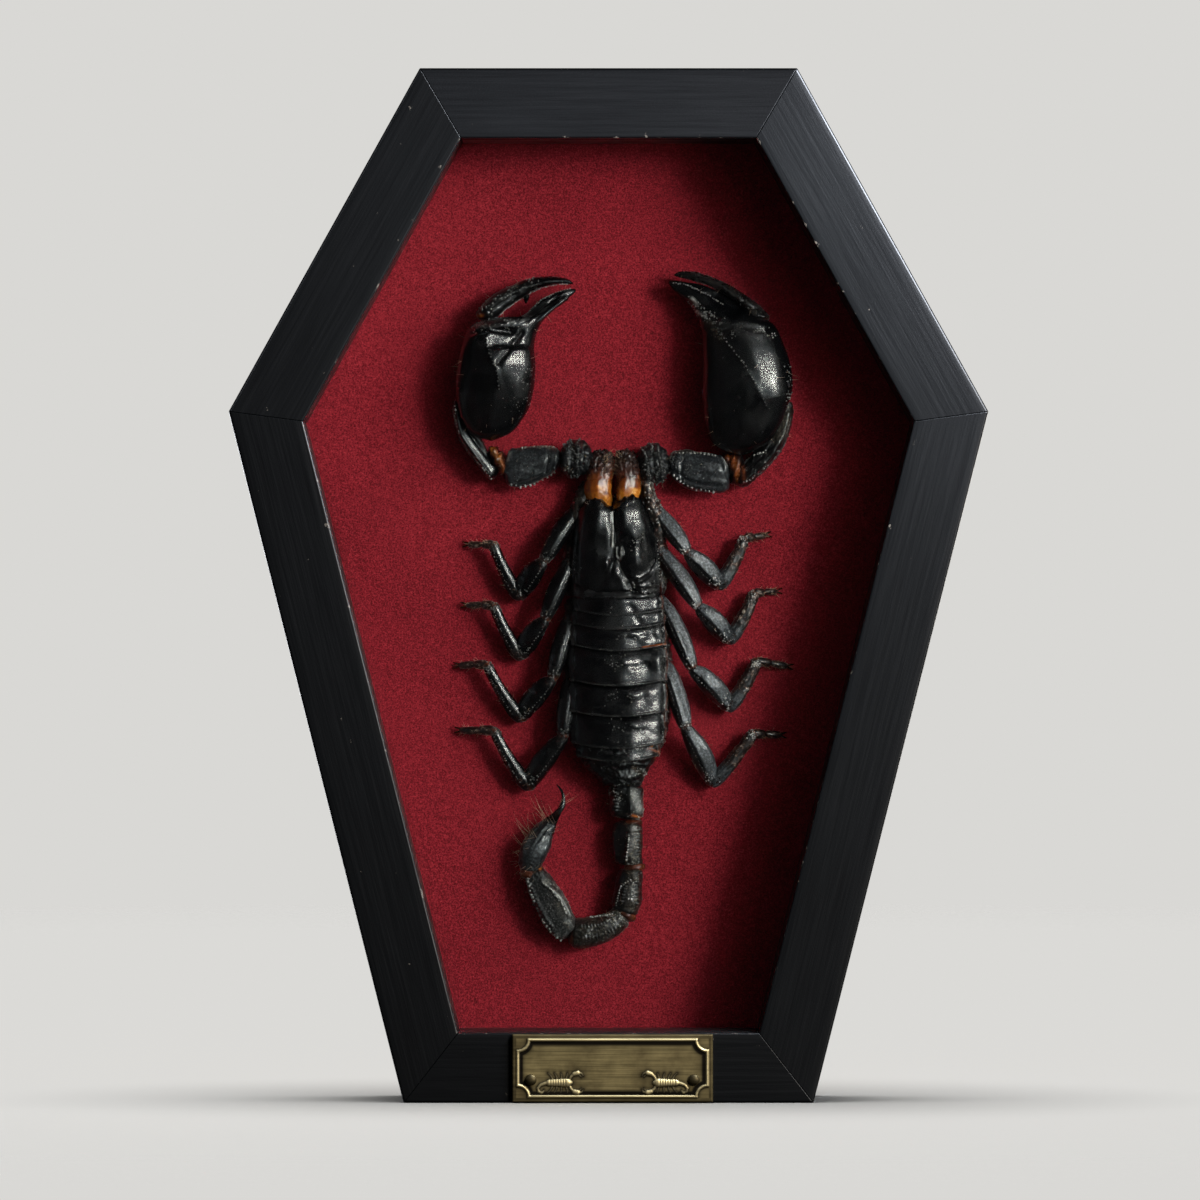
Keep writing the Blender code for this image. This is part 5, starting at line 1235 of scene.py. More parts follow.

# Both claw arms: hip joint, upper arm, elbow, lower arm, hand with its fixed finger, moving finger
# Pale lines and pale granule tips on the arms are painted highlights; the satin grey is partly painted
# sheen
armShapes = {
    ("left", "hip"): {
        "rows": [(-5.3, 30.3, -5.9, 25.5, 4.0, 2.0), (-7.9, 32.1, -8.3, 25.5, 4.5, 3.2),
            (-9.9, 32.1, -9.9, 24.6, 4.5, 3.4), (-11.1, 31.1, -11.1, 25.7, 4.4, 2.9),
            (-11.9, 29.9, -11.7, 26.7, 4.3, 1.9)],
        "ridges": [
            ([(-9.3, 31.1), (-9.7, 25.5)], 0.5, -0.5), ([(-8.5, 31.7), (-8.5, 25.5)], 0.35, 0.4),
            ([(-7.1, 31.1), (-7.3, 26.3)], 0.4, -0.4),
        ],
        "studs": [
            beaded([(-10.7, 31.1), (-10.3, 25.5)], 0.55, radius=0.2, frost=0.12),
            beaded([(-8.5, 31.5), (-8.5, 25.5)], 0.6, radius=0.2, frost=0.08),
            scattered([(-9.9, 31.5), (-9.1, 25)], 1.8, 80, radius=0.2, tall=1.8, frost=0.12),
        ],
    },
    ("left", "upper"): {
        "rows": [(-11.5, 29.7, -11.9, 26.9, 4.4, 1.9, 2.4), (-12.7, 30.9, -13.3, 25.7, 4.4, 2.5),
            (-15, 31.2, -15.4, 24.4, 4.4, 2.6), (-17.6, 31.1, -18, 23.3, 4.4, 2.6),
            (-20, 30.8, -20.6, 22.8, 4.4, 2.6), (-21.6, 30.1, -22.4, 23.4, 4.4, 2.4),
            (-22.6, 28.9, -23.4, 24.8, 4.4, 1.9, 2.4)],
        "square": 0.85, "lean": 0.1,
        "ridges": [
            ([(-21.4, 30.3), (-22.8, 28.1), (-23, 25.9)], 0.45, 0.55),
            ([(-20.8, 23.4), (-18, 23.8), (-15, 25.2), (-12.7, 26.9)], 0.5, -0.3),
            ([(-14.2, 30.7), (-14.6, 25.5)], 0.35, -0.3), ([(-12.7, 30.3), (-13.1, 26.3)], 0.3, 0.3),
        ],
        "folds": [(4, 1.3, 0.14, None)],
        "zones": [
            ("satin", "ramp", [(0, 0.2), (0.3, 0.3), (1, 0.35)]),
            ("tan", "line", [(-20.4, 30.7), (-15, 31.1), (-12.7, 30.5)], 0.3, 0.8),
            ("frost", "line", [(-21.8, 29.5), (-22.8, 27.5)], 0.22, 0.3),
        ],
        "studs": [
            beaded([(-22.2, 23.6), (-20, 22.9), (-17.6, 23.4), (-14.8, 24.6), (-12.7, 25.9)],
                0.95, radius=0.27, tall=1.7, frost=0.35),
            beaded([(-20, 30.6), (-17.6, 30.9), (-15, 31), (-12.7, 30.7)],
                0.8, radius=0.26, tan=0.9, frost=0.3),
            scattered([(-20, 27.5), (-13.5, 28.3)], 2.6, 60, radius=0.15, frost=0.1),
        ],
    },
    ("left", "elbow"): {
        "rows": [(-22.6, 29.1, -23, 24.8, 4.1, 2.1), (-24.1, 30.5, -23.8, 25.7, 4.1, 3.0),
            (-25.5, 31.1, -24.9, 26.5, 4.0, 3.0), (-26.7, 30.9, -25.9, 27.7, 3.9, 1.9)],
        "zones": [
            ("membrane", "line", [(-25.7, 30.3), (-24.1, 28.3), (-23.6, 25.9)], 1.3, 0.75),
            ("speckle", "line", [(-25.1, 29.7), (-23.8, 26.7)], 0.5, 0.5),
        ],
    },
    ("left", "fore"): {
        "rows": [(-25.3, 23.8, -23.8, 27.1, 4.0, 2.2), (-26.9, 25, -25.3, 28.5, 3.9, 2.7),
            (-28.9, 27.7, -26.9, 30.5, 3.9, 3.0), (-30.9, 30.3, -28.1, 33.1, 4.0, 3.3),
            (-32.5, 32.9, -29.7, 35.1, 4.5, 3.2), (-33.3, 36.2, -30.5, 37.6, 5.3, 2.8),
            (-33.5, 38.8, -31.7, 40, 6.2, 2.2), (-33.1, 40.4, -32.1, 41.2, 6.8, 1.4)],
        "profile": [(k, [(-1, 0.5), (-0.8, 0.82), (-0.5, 1.0), (0.3, 0.83), (0.55, 0.72), (1, 0.5)])
            for k in (0, 1)],
        "ridges": [
            ([(-32.7, 38.4), (-32.3, 35.4), (-31.5, 32.5), (-29.7, 29.9), (-27.7, 27.5), (-25.9, 25)],
                0.3, 0.15),
            ([(-31.7, 38.4), (-30.7, 34.7), (-28.5, 31.5), (-26.1, 28.7)], 0.4, -0.35),
            ([(-30.1, 34.3), (-28.1, 31.7), (-25.7, 29.1)], 0.3, 0.3),
        ],
        "zones": [
            ("dull", "side", 0.3, 0.6, 0.7), ("dull", "side", -0.75, -0.9, 0.7),
            ("membrane", "line", [(-26.9, 30.9), (-24.5, 29.3)], 0.5, 0.6),
        ],
        "studs": [
            beaded([(-33.1, 39.4), (-32.9, 35.6), (-31.9, 32.3), (-29.9, 29.3), (-27.7, 26.9),
                (-25.5, 24.2)], 0.7, radius=0.24, frost=0.45),
            scattered([(-30.9, 37.2), (-28.9, 33.5), (-25.7, 30.3)], 1.2, 60, radius=0.16, frost=0.15),
        ],
    },
    ("left", "hand"): {
        "rows": [(-26.9, 32.1, -24.9, 32.1, 6.3, 1.6), (-29.5, 33.3, -21.8, 33.7, 6.9, 2.9),
            (-31.7, 36, -19.4, 36.6, 7.4, 3.8), (-32.8, 39.6, -17.8, 39.8, 7.6, 4.6),
            (-33.1, 43.4, -17, 43.6, 7.7, 5.15), (-32.7, 46.9, -16.9, 47.1, 7.7, 5.5),
            (-31.7, 51.7, -17.1, 51.9, 7.4, 5.3), (-30.3, 54.7, -16, 55.1, 6.9, 5.3),
            (-25.1, 57, -14.6, 57, 6.3, 4.1), (-21, 56.8, -13.3, 58.2, 5.9, 3.2),
            (-18, 58.6, -12.3, 59.2, 5.6, 2.6), (-16, 60.6, -11.3, 60.2, 5.3, 2.0),
            (-13.5, 61.8, -10.1, 61.1, 5.2, 1.4), (-11.1, 62.6, -9.1, 62, 5.1, 0.9),
            (-9.3, 63, -8.5, 62.7, 5.0, 0.4)],
        "profile": [
            (0.0, [(-1, 0.5), (-0.5, 0.9), (0, 1.0), (0.5, 0.9), (1, 0.5)]),
            (0.3, [(-1, 0.5), (-0.6, 0.88), (0, 1.0), (0.6, 0.86), (1, 0.5)]),
            (0.35, [(-1, 0.5), (-0.6, 0.9), (-0.1, 1.02), (0.2, 0.98), (0.95, 0.67), (1, 0.6)]),
            (0.46, [(-1, 0.5), (-0.6, 0.9), (-0.1, 1.02), (0.2, 0.98), (0.95, 0.67), (1, 0.6)]),
            (0.485, [(-1, 0.5), (-0.7, 0.92), (-0.4, 1.03), (0.45, 0.7), (0.6, 0.66), (1, 0.5)]),
            (0.57, [(-1, 0.5), (-0.7, 0.92), (-0.4, 1.03), (0.45, 0.7), (0.6, 0.66), (1, 0.5)]),
            (0.66, [(-1, 0.5), (-0.5, 0.85), (-0.1, 1.0), (0.5, 0.85), (1, 0.5)]),
            (1.0, [(-1, 0.6), (-0.5, 0.9), (-0.2, 1.0), (0.5, 0.8), (1, 0.6)]),
        ],
        "bulges": [([(-19.6, 53.7), (-22, 50.7), (-24.3, 47.7)], 0.5, -0.35)],
        "ridges": [
            ([(-26.7, 52.5), (-26.3, 49.7), (-24.7, 46.5), (-24.1, 43.2)], 0.6, 0.2),
            ([(-29.7, 53.9), (-25.7, 54.5), (-21.6, 53.9)], 0.6, -0.5),
            ([(-16.4, 56.2), (-13.5, 58.8), (-10.7, 60.8)], 0.4, 0.4),
            ([(-18.4, 56.2), (-15.8, 59.2), (-12.7, 61)], 0.4, -0.35),
        ],
        "zones": [
            ("dull", "line", [(-30.1, 55.6), (-21.6, 55.8)], 1.0, 0.6),
            ("dull", "line", [(-20, 56.2), (-15, 59.8)], 0.8, 0.5),
            ("membrane", "line", [(-27.1, 32.3), (-23, 32.9)], 0.4, 0.3),
        ],
        "studs": [
            beaded([(-30.1, 55.8), (-28.1, 56.5), (-24.9, 56.8), (-21.6, 56.2)],
                0.62, radius=0.24, frost=0.2),
            scattered([(-29.9, 54.5), (-25.7, 55.3), (-21.4, 54.9)], 0.8, 70, radius=0.16, frost=0.12),
            beaded([(-19.2, 57), (-17.2, 59.2), (-14.8, 61.2), (-11.9, 62.3), (-9.7, 62.9)],
                0.5, radius=0.19, frost=0.35),
            scattered([(-18, 45.2), (-19.2, 41.4), (-21.6, 37.4)],
                2.6, 60, radius=0.1, tall=0.6, frost=0.2),
            beaded([(-26.7, 52.9), (-26.3, 49.7), (-24.7, 46.5), (-24.1, 42)],
                0.75, radius=0.18, frost=0.1),
        ],
        "bristles": [{"count": 26, "length": (0.8, 2.6)}],
    },
    ("left", "finger"): {
        "rows": [(-29.3, 56.8, -25.7, 56, 5.7, 2.0), (-28.1, 59, -24.3, 57.4, 5.7, 2.8),
            (-26.3, 60.9, -22.6, 59, 5.6, 2.8), (-23.8, 62.5, -21, 60.1, 5.5, 2.6),
            (-21.4, 63.6, -19.4, 61, 5.5, 2.3), (-18.8, 64.7, -17.6, 62.1, 5.4, 2.0),
            (-16, 65.3, -15.4, 63.1, 5.3, 1.6), (-13.3, 65.4, -13.1, 63.6, 5.2, 1.3),
            (-11.1, 65, -11.2, 63.9, 5.1, 0.9), (-9.7, 64.4, -9.8, 63.8, 5.0, 0.5),
            (-9.2, 64, -9.3, 63.8, 5.0, 0.2)],
        "ridges": [
            ([(-26.1, 58.2), (-23.4, 60), (-20.8, 61.6)], 0.45, -0.35),
            ([(-18.4, 63.2), (-15, 64.2), (-11.5, 64.4)], 0.35, 0.35),
        ],
        "zones": [
            ("membrane", "line", [(-28.9, 57.4), (-27.7, 57.4)], 0.6, 0.85),
            ("dull", "ramp", [(0, 0.6), (0.45, 0.7), (0.7, 0.2), (1, 0.1)]),
        ],
        "studs": [
            beaded([(-24.1, 57.6), (-22.2, 59.2), (-20.6, 60.4), (-18.8, 61.2), (-17, 62.1), (-14.8, 63),
                (-11.9, 63.7), (-10.1, 63.8)], 0.42, radius=0.2, frost=0.5),
            scattered([(-27.5, 59), (-24.5, 60.8), (-21, 62.6), (-18, 64)],
                1.1, 110, radius=0.18, frost=0.2),
        ],
        "tooth": [(-19.5, 61.4, -17.9, 61.8, 5.3, 1.3), (-19.3, 60.6, -18.2, 60.8, 5.3, 1.0),
            (-18.9, 59.8, -18.7, 59.8, 5.3, 0.3)],
    },
    ("right", "hip"): {
        "rows": [(3.4, 29.3, 4, 24.4, 4.0, 2.0), (5.8, 31.1, 6.5, 23.8, 4.5, 3.2),
            (7.5, 31.5, 8.3, 23.8, 4.5, 3.3), (8.9, 30.7, 9.5, 24.8, 4.4, 2.8),
            (9.9, 29.3, 10.1, 26.3, 4.3, 1.9)],
        "ridges": [
            ([(6.7, 30.7), (7.3, 24.2)], 0.45, -0.5), ([(5.2, 29.9), (6, 24.6)], 0.35, 0.4),
            ([(7.7, 31.1), (8.7, 24.6)], 0.35, 0.35),
        ],
        "studs": [
            beaded([(5.2, 30.1), (6.3, 24.2)], 0.55, radius=0.2, frost=0.15),
            beaded([(7.7, 31.1), (8.9, 24.8)], 0.6, radius=0.2, frost=0.15),
            scattered([(6.3, 30.7), (7.5, 24.2)], 1.8, 80, radius=0.2, tall=1.8, frost=0.12),
        ],
    },
    ("right", "upper"): {
        "rows": [(9.7, 29.1, 9.7, 26.3, 4.4, 1.9, 2.4), (11.1, 29.9, 11.1, 24.6, 4.4, 2.5),
            (13.3, 30.1, 13.1, 23, 4.4, 2.6), (15.7, 29.9, 15.5, 22.1, 4.4, 2.6),
            (18.2, 29.7, 18.4, 21.8, 4.4, 2.6), (20, 29.1, 21, 21.9, 4.4, 2.4),
            (21.4, 27.7, 22.8, 22.8, 4.4, 1.9, 2.4)],
        "square": 0.85, "lean": 0.1,
        "ridges": [
            ([(20.2, 28.9), (21.4, 26.7), (23.4, 23.4)], 0.4, 0.6),
            ([(11.5, 25.5), (14.3, 23.8), (17.4, 23), (20.4, 22.8)], 0.5, -0.35),
            ([(12.7, 29.5), (12.5, 24.2)], 0.35, -0.3), ([(13.5, 30.9), (14.3, 30.9)], 0.9, 0.9),
        ],
        "folds": [(172, 1.3, 0.14, None)],
        "zones": [
            ("satin", "ramp", [(0, 0.2), (0.3, 0.3), (1, 0.35)]),
            ("frost", "line", [(20.8, 28.3), (22, 25.9), (23.6, 23.2)], 0.22, 0.7),
            ("tan", "line", [(11.1, 29.7), (15.7, 29.9), (19.2, 29.5)], 0.3, 0.6),
            ("tan", "line", [(13.5, 30.7), (14.5, 30.7)], 0.6, 0.9),
        ],
        "studs": [
            beaded([(10.1, 26.1), (11.5, 24.6), (13.5, 23.2), (15.7, 22.3), (19.6, 22)],
                0.9, radius=0.27, tall=1.7, frost=0.35),
            beaded([(11.1, 29.7), (15.7, 29.7), (19.4, 29.1)], 0.72, radius=0.26, tan=0.8, frost=0.35),
            scattered([(10.7, 27.9), (14.3, 26.7)], 1.8, 70, radius=0.15, frost=0.2),
        ],
    },
    ("right", "elbow"): {
        "rows": [(20.6, 28.9, 22.6, 22.6, 4.1, 2.1), (22, 29.7, 24, 23.4, 4.1, 3.0),
            (23.6, 30.1, 24.8, 24.4, 4.0, 3.0), (25, 29.9, 25.4, 26.1, 3.9, 1.9)],
        "zones": [
            ("membrane", "line", [(22.6, 28.9), (23.8, 26.7), (24.4, 23.8)], 1.3, 0.75),
            ("speckle", "line", [(23.4, 28.7), (24.2, 24.6)], 0.5, 0.5),
        ],
    },
    ("right", "fore"): {
        "rows": [(23.8, 22.6, 23.8, 26.5, 4.0, 2.2), (25.6, 23, 25.6, 27.7, 3.9, 2.7),
            (27.9, 24.8, 27.3, 29.9, 3.9, 3.1), (30.3, 27.1, 28.9, 31.7, 3.9, 3.3),
            (32.7, 30.1, 30.5, 33.5, 3.9, 3.2), (34.3, 33.9, 31.5, 36.2, 4.0, 2.9),
            (35.1, 37.6, 32.3, 38.8, 4.1, 2.3), (35.1, 39.8, 33.5, 40.6, 4.2, 1.4)],
        "ridges": [
            ([(24.6, 23.8), (27.9, 26.3), (30.5, 29.1), (32.9, 33.1), (34.1, 37.6)], 0.45, 0.5),
            ([(25.6, 26.3), (28.9, 29.1), (31.3, 32.3)], 0.4, -0.35),
        ],
        "zones": [
            ("dull", "ramp", [(0, 0.8), (1, 0.8)]),
            ("tan", "line", [(33.9, 38.8), (33.3, 35.6), (32.1, 32.7)], 0.8, 0.85),
            ("membrane", "line", [(24.8, 28.3), (25.2, 24.6)], 0.6, 0.6),
        ],
        "grains": [(0.5, 0.25, None)],
        "studs": [
            beaded([(24.8, 28.1), (27.9, 29.5), (30.1, 30.3)], 0.62, radius=0.24, frost=0.6),
            beaded([(24.8, 23.4), (28.1, 25.5), (30.9, 27.9), (33.5, 31.9), (34.7, 37.2)],
                0.7, radius=0.24, frost=0.35),
            scattered([(26.9, 26.3), (30.9, 30.3), (33.3, 35.4)], 1.8, 100, radius=0.14, frost=0.15),
        ],
    },
    ("right", "hand"): {
        "rows": [(22.8, 29.3, 25.8, 29.1, 6.4, 1.8), (19.6, 31.1, 29.1, 30.9, 7.0, 3.3),
            (17.8, 34.3, 31.7, 33.7, 7.5, 4.3), (17, 38.4, 33.7, 38.4, 7.7, 5.0),
            (16.8, 42.4, 34.9, 42.4, 7.8, 5.5), (16.8, 47.3, 34.6, 47.3, 7.7, 5.35),
            (16.8, 51.5, 33.3, 51.5, 7.4, 5.1), (16.6, 54.9, 31.3, 55.6, 6.9, 4.5),
            (15.7, 57.4, 28.9, 57.2, 6.3, 3.9), (14.7, 59.2, 26, 58.8, 5.8, 3.3),
            (13.5, 60.6, 23.4, 60.6, 5.6, 2.7), (12.1, 61.6, 20, 62.4, 5.4, 2.1),
            (10.9, 62.7, 16.4, 63.7, 5.2, 1.5), (10.1, 63.8, 12.5, 64.4, 5.1, 0.9),
            (9.9, 64.4, 10.7, 64.7, 5.0, 0.4)],
        "bulges": [([(19.6, 61.2), (23.2, 58.6)], 1.4, -1.6)],
        "profile": [
            (0.0, [(-1, 0.5), (-0.5, 0.9), (0, 1.0), (0.5, 0.85), (1, 0.4)]),
            (0.27, [(-1, 0.5), (-0.6, 0.88), (0, 1.0), (0.6, 0.9), (0.85, 0.7), (1, 0.45)]),
            (0.34, [(-1, 0.5), (-0.6, 0.88), (0, 1.0), (0.24, 0.98), (0.72, 0.74), (0.87, 0.58), (1, 0.4)]),
            (0.5, [(-1, 0.5), (-0.6, 0.88), (0, 1.0), (0.2, 0.98), (0.66, 0.74), (0.83, 0.58), (1, 0.4)]),
            (0.7, [(-1, 0.5), (-0.5, 0.88), (-0.1, 1.0), (0.5, 0.84), (1, 0.5)]),
            (1.0, [(-1, 0.6), (-0.5, 0.9), (0, 1.0), (0.5, 0.9), (1, 0.6)]),
        ],
        "ridges": [
            ([(16.4, 57.8), (19, 55.1), (21.8, 51.5), (25, 47.3), (27.9, 42.4), (29.9, 38.4)], 0.5, 0.08),
            ([(19.6, 54.3), (24, 55.1), (29.3, 54.5)], 0.6, -0.35),
            ([(14.9, 60.6), (17.6, 58.8), (20.8, 56.2)], 0.4, 0.3),
        ],
        "zones": [
            ("dull", "line", [(17.4, 55.6), (28.5, 53.7)], 1.2, 0.5),
            ("tan", "line", [(17.2, 56.6), (20.4, 52.9)], 0.8, 0.3),
            ("frost", "line", [(14.7, 60.8), (15.7, 59.6)], 0.35, 0.7),
            ("frost", "line", [(15.7, 58.2), (17.4, 57)], 0.3, 0.6),
        ],
        "studs": [
            beaded([(15.7, 59), (18.8, 55.8), (21.8, 51.9), (25, 47.7), (27.9, 42.8), (30.1, 38.4)],
                0.8, radius=0.16, frost=0.12),
            scattered([(20, 53.7), (24.4, 54.3), (28.5, 53.5)], 1.0, 50, radius=0.15, frost=0.1),
            scattered([(28.1, 54.5), (30.9, 53.7)], 0.7, 30, radius=0.16, frost=0.5),
            scattered([(33.7, 47.3), (34.5, 42.4), (33.7, 38.4)], 0.7, 30, radius=0.14, frost=0.35),
            scattered([(14.3, 60), (17.2, 58), (20, 56.2)], 0.9, 60, radius=0.16, frost=0.3),
            beaded([(10.7, 64), (13.1, 63.8), (15.9, 62.6), (18.8, 61), (21.2, 59.4)],
                0.5, radius=0.18, frost=0.3),
        ],
        "bristles": [{"count": 26, "length": (0.8, 2.6)}],
    },
    ("right", "finger"): {
        "rows": [(30.7, 56, 26.7, 56.4, 5.7, 2.0), (29.7, 58, 25.4, 57.8, 5.7, 2.8),
            (27.9, 59.8, 23.8, 59.6, 5.6, 2.9), (25.6, 61.4, 22.2, 61.1, 5.5, 2.6),
            (23, 63.2, 20.2, 62.5, 5.5, 2.2), (20.2, 64.6, 17.8, 63.5, 5.4, 1.8),
            (17.4, 65.7, 15.5, 64.3, 5.3, 1.4), (14.5, 66.3, 13.3, 64.9, 5.2, 1.0),
            (12.1, 66.2, 11.7, 65.3, 5.1, 0.5), (11.1, 65.9, 11.1, 65.5, 5.0, 0.25)],
        "dull": 0.35, "tan": 0.1,
        "ridges": [
            ([(14.3, 65.4), (17.6, 64.6), (20.8, 63.2), (24.4, 60.6)], 0.35, 0.3),
            ([(26, 57.8), (29.7, 57)], 0.4, 0.4), ([(26.4, 58.8), (29.3, 58.8)], 0.4, -0.35),
        ],
        "grains": [(0.45, 0.16, None)],
        "zones": [("membrane", "line", [(27.3, 56.8), (29.7, 56.6)], 0.35, 0.6)],
        "studs": [
            scattered([(13.9, 65.7), (17.6, 64.6), (21.6, 62.4), (25.4, 59.8), (28.1, 58)],
                1.2, 90, radius=0.12, frost=0.12),
            beaded([(13.5, 64.8), (15.9, 64), (18.8, 62.8), (21.6, 61), (24, 59)],
                0.5, radius=0.14, frost=0.3),
        ],
    },
}
armBasics = {
    "hip": {
        "grid": (64, 72), "dull": 0.7, "satin": 0.1, "grains": [(0.5, 0.3, None), (1.3, 0.35, None)],
        "folds": [(85, 1.2, 0.3, None)],
    },
    "upper": {"grid": (90, 90), "grains": [(1.3, 0.1, None)]},
    "elbow": {
        "grid": (44, 60), "dull": 0.35, "folds": [(70, 0.7, 0.5, None)], "grains": [(0.5, 0.15, None)],
    },
    "fore": {"grid": (84, 76), "grains": [(0.5, 0.22, "dull")], "waves": [(2.6, 0.05)]},
    "hand": {"grid": (176, 160), "grains": [(0.5, 0.22, "dull")], "waves": [(3.4, 0.12)]},
    "finger": {"grid": (110, 76), "grains": [(0.5, 0.18, "dull")], "waves": [(2.2, 0.1)]},
}
armCommon = {"rounded": (1.2, 0.8), "waves": [(2.6, 0.1)], "bristles": [{"count": 14, "facing": -0.5}]}
armTooth = {"grid": (20, 24), "dull": 0.3, "rounded": (0.4, 0.2)}
for sideName in ("left", "right"):
    armPatches = []
    for k, (part, basics) in enumerate(armBasics.items()):
        shape = {**armCommon, **basics, **armShapes[sideName, part]}
        armPatches += grown(shape, 200 + 10 * k)
        if "tooth" in shape:
            armPatches += grown({**armTooth, "rows": shape["tooth"]})
    node = f"claw_arm_{sideName}"
    makePiece(f"{sideName}ClawArm", armPatches, [cuticle, bristle], [node])
print("claws made")
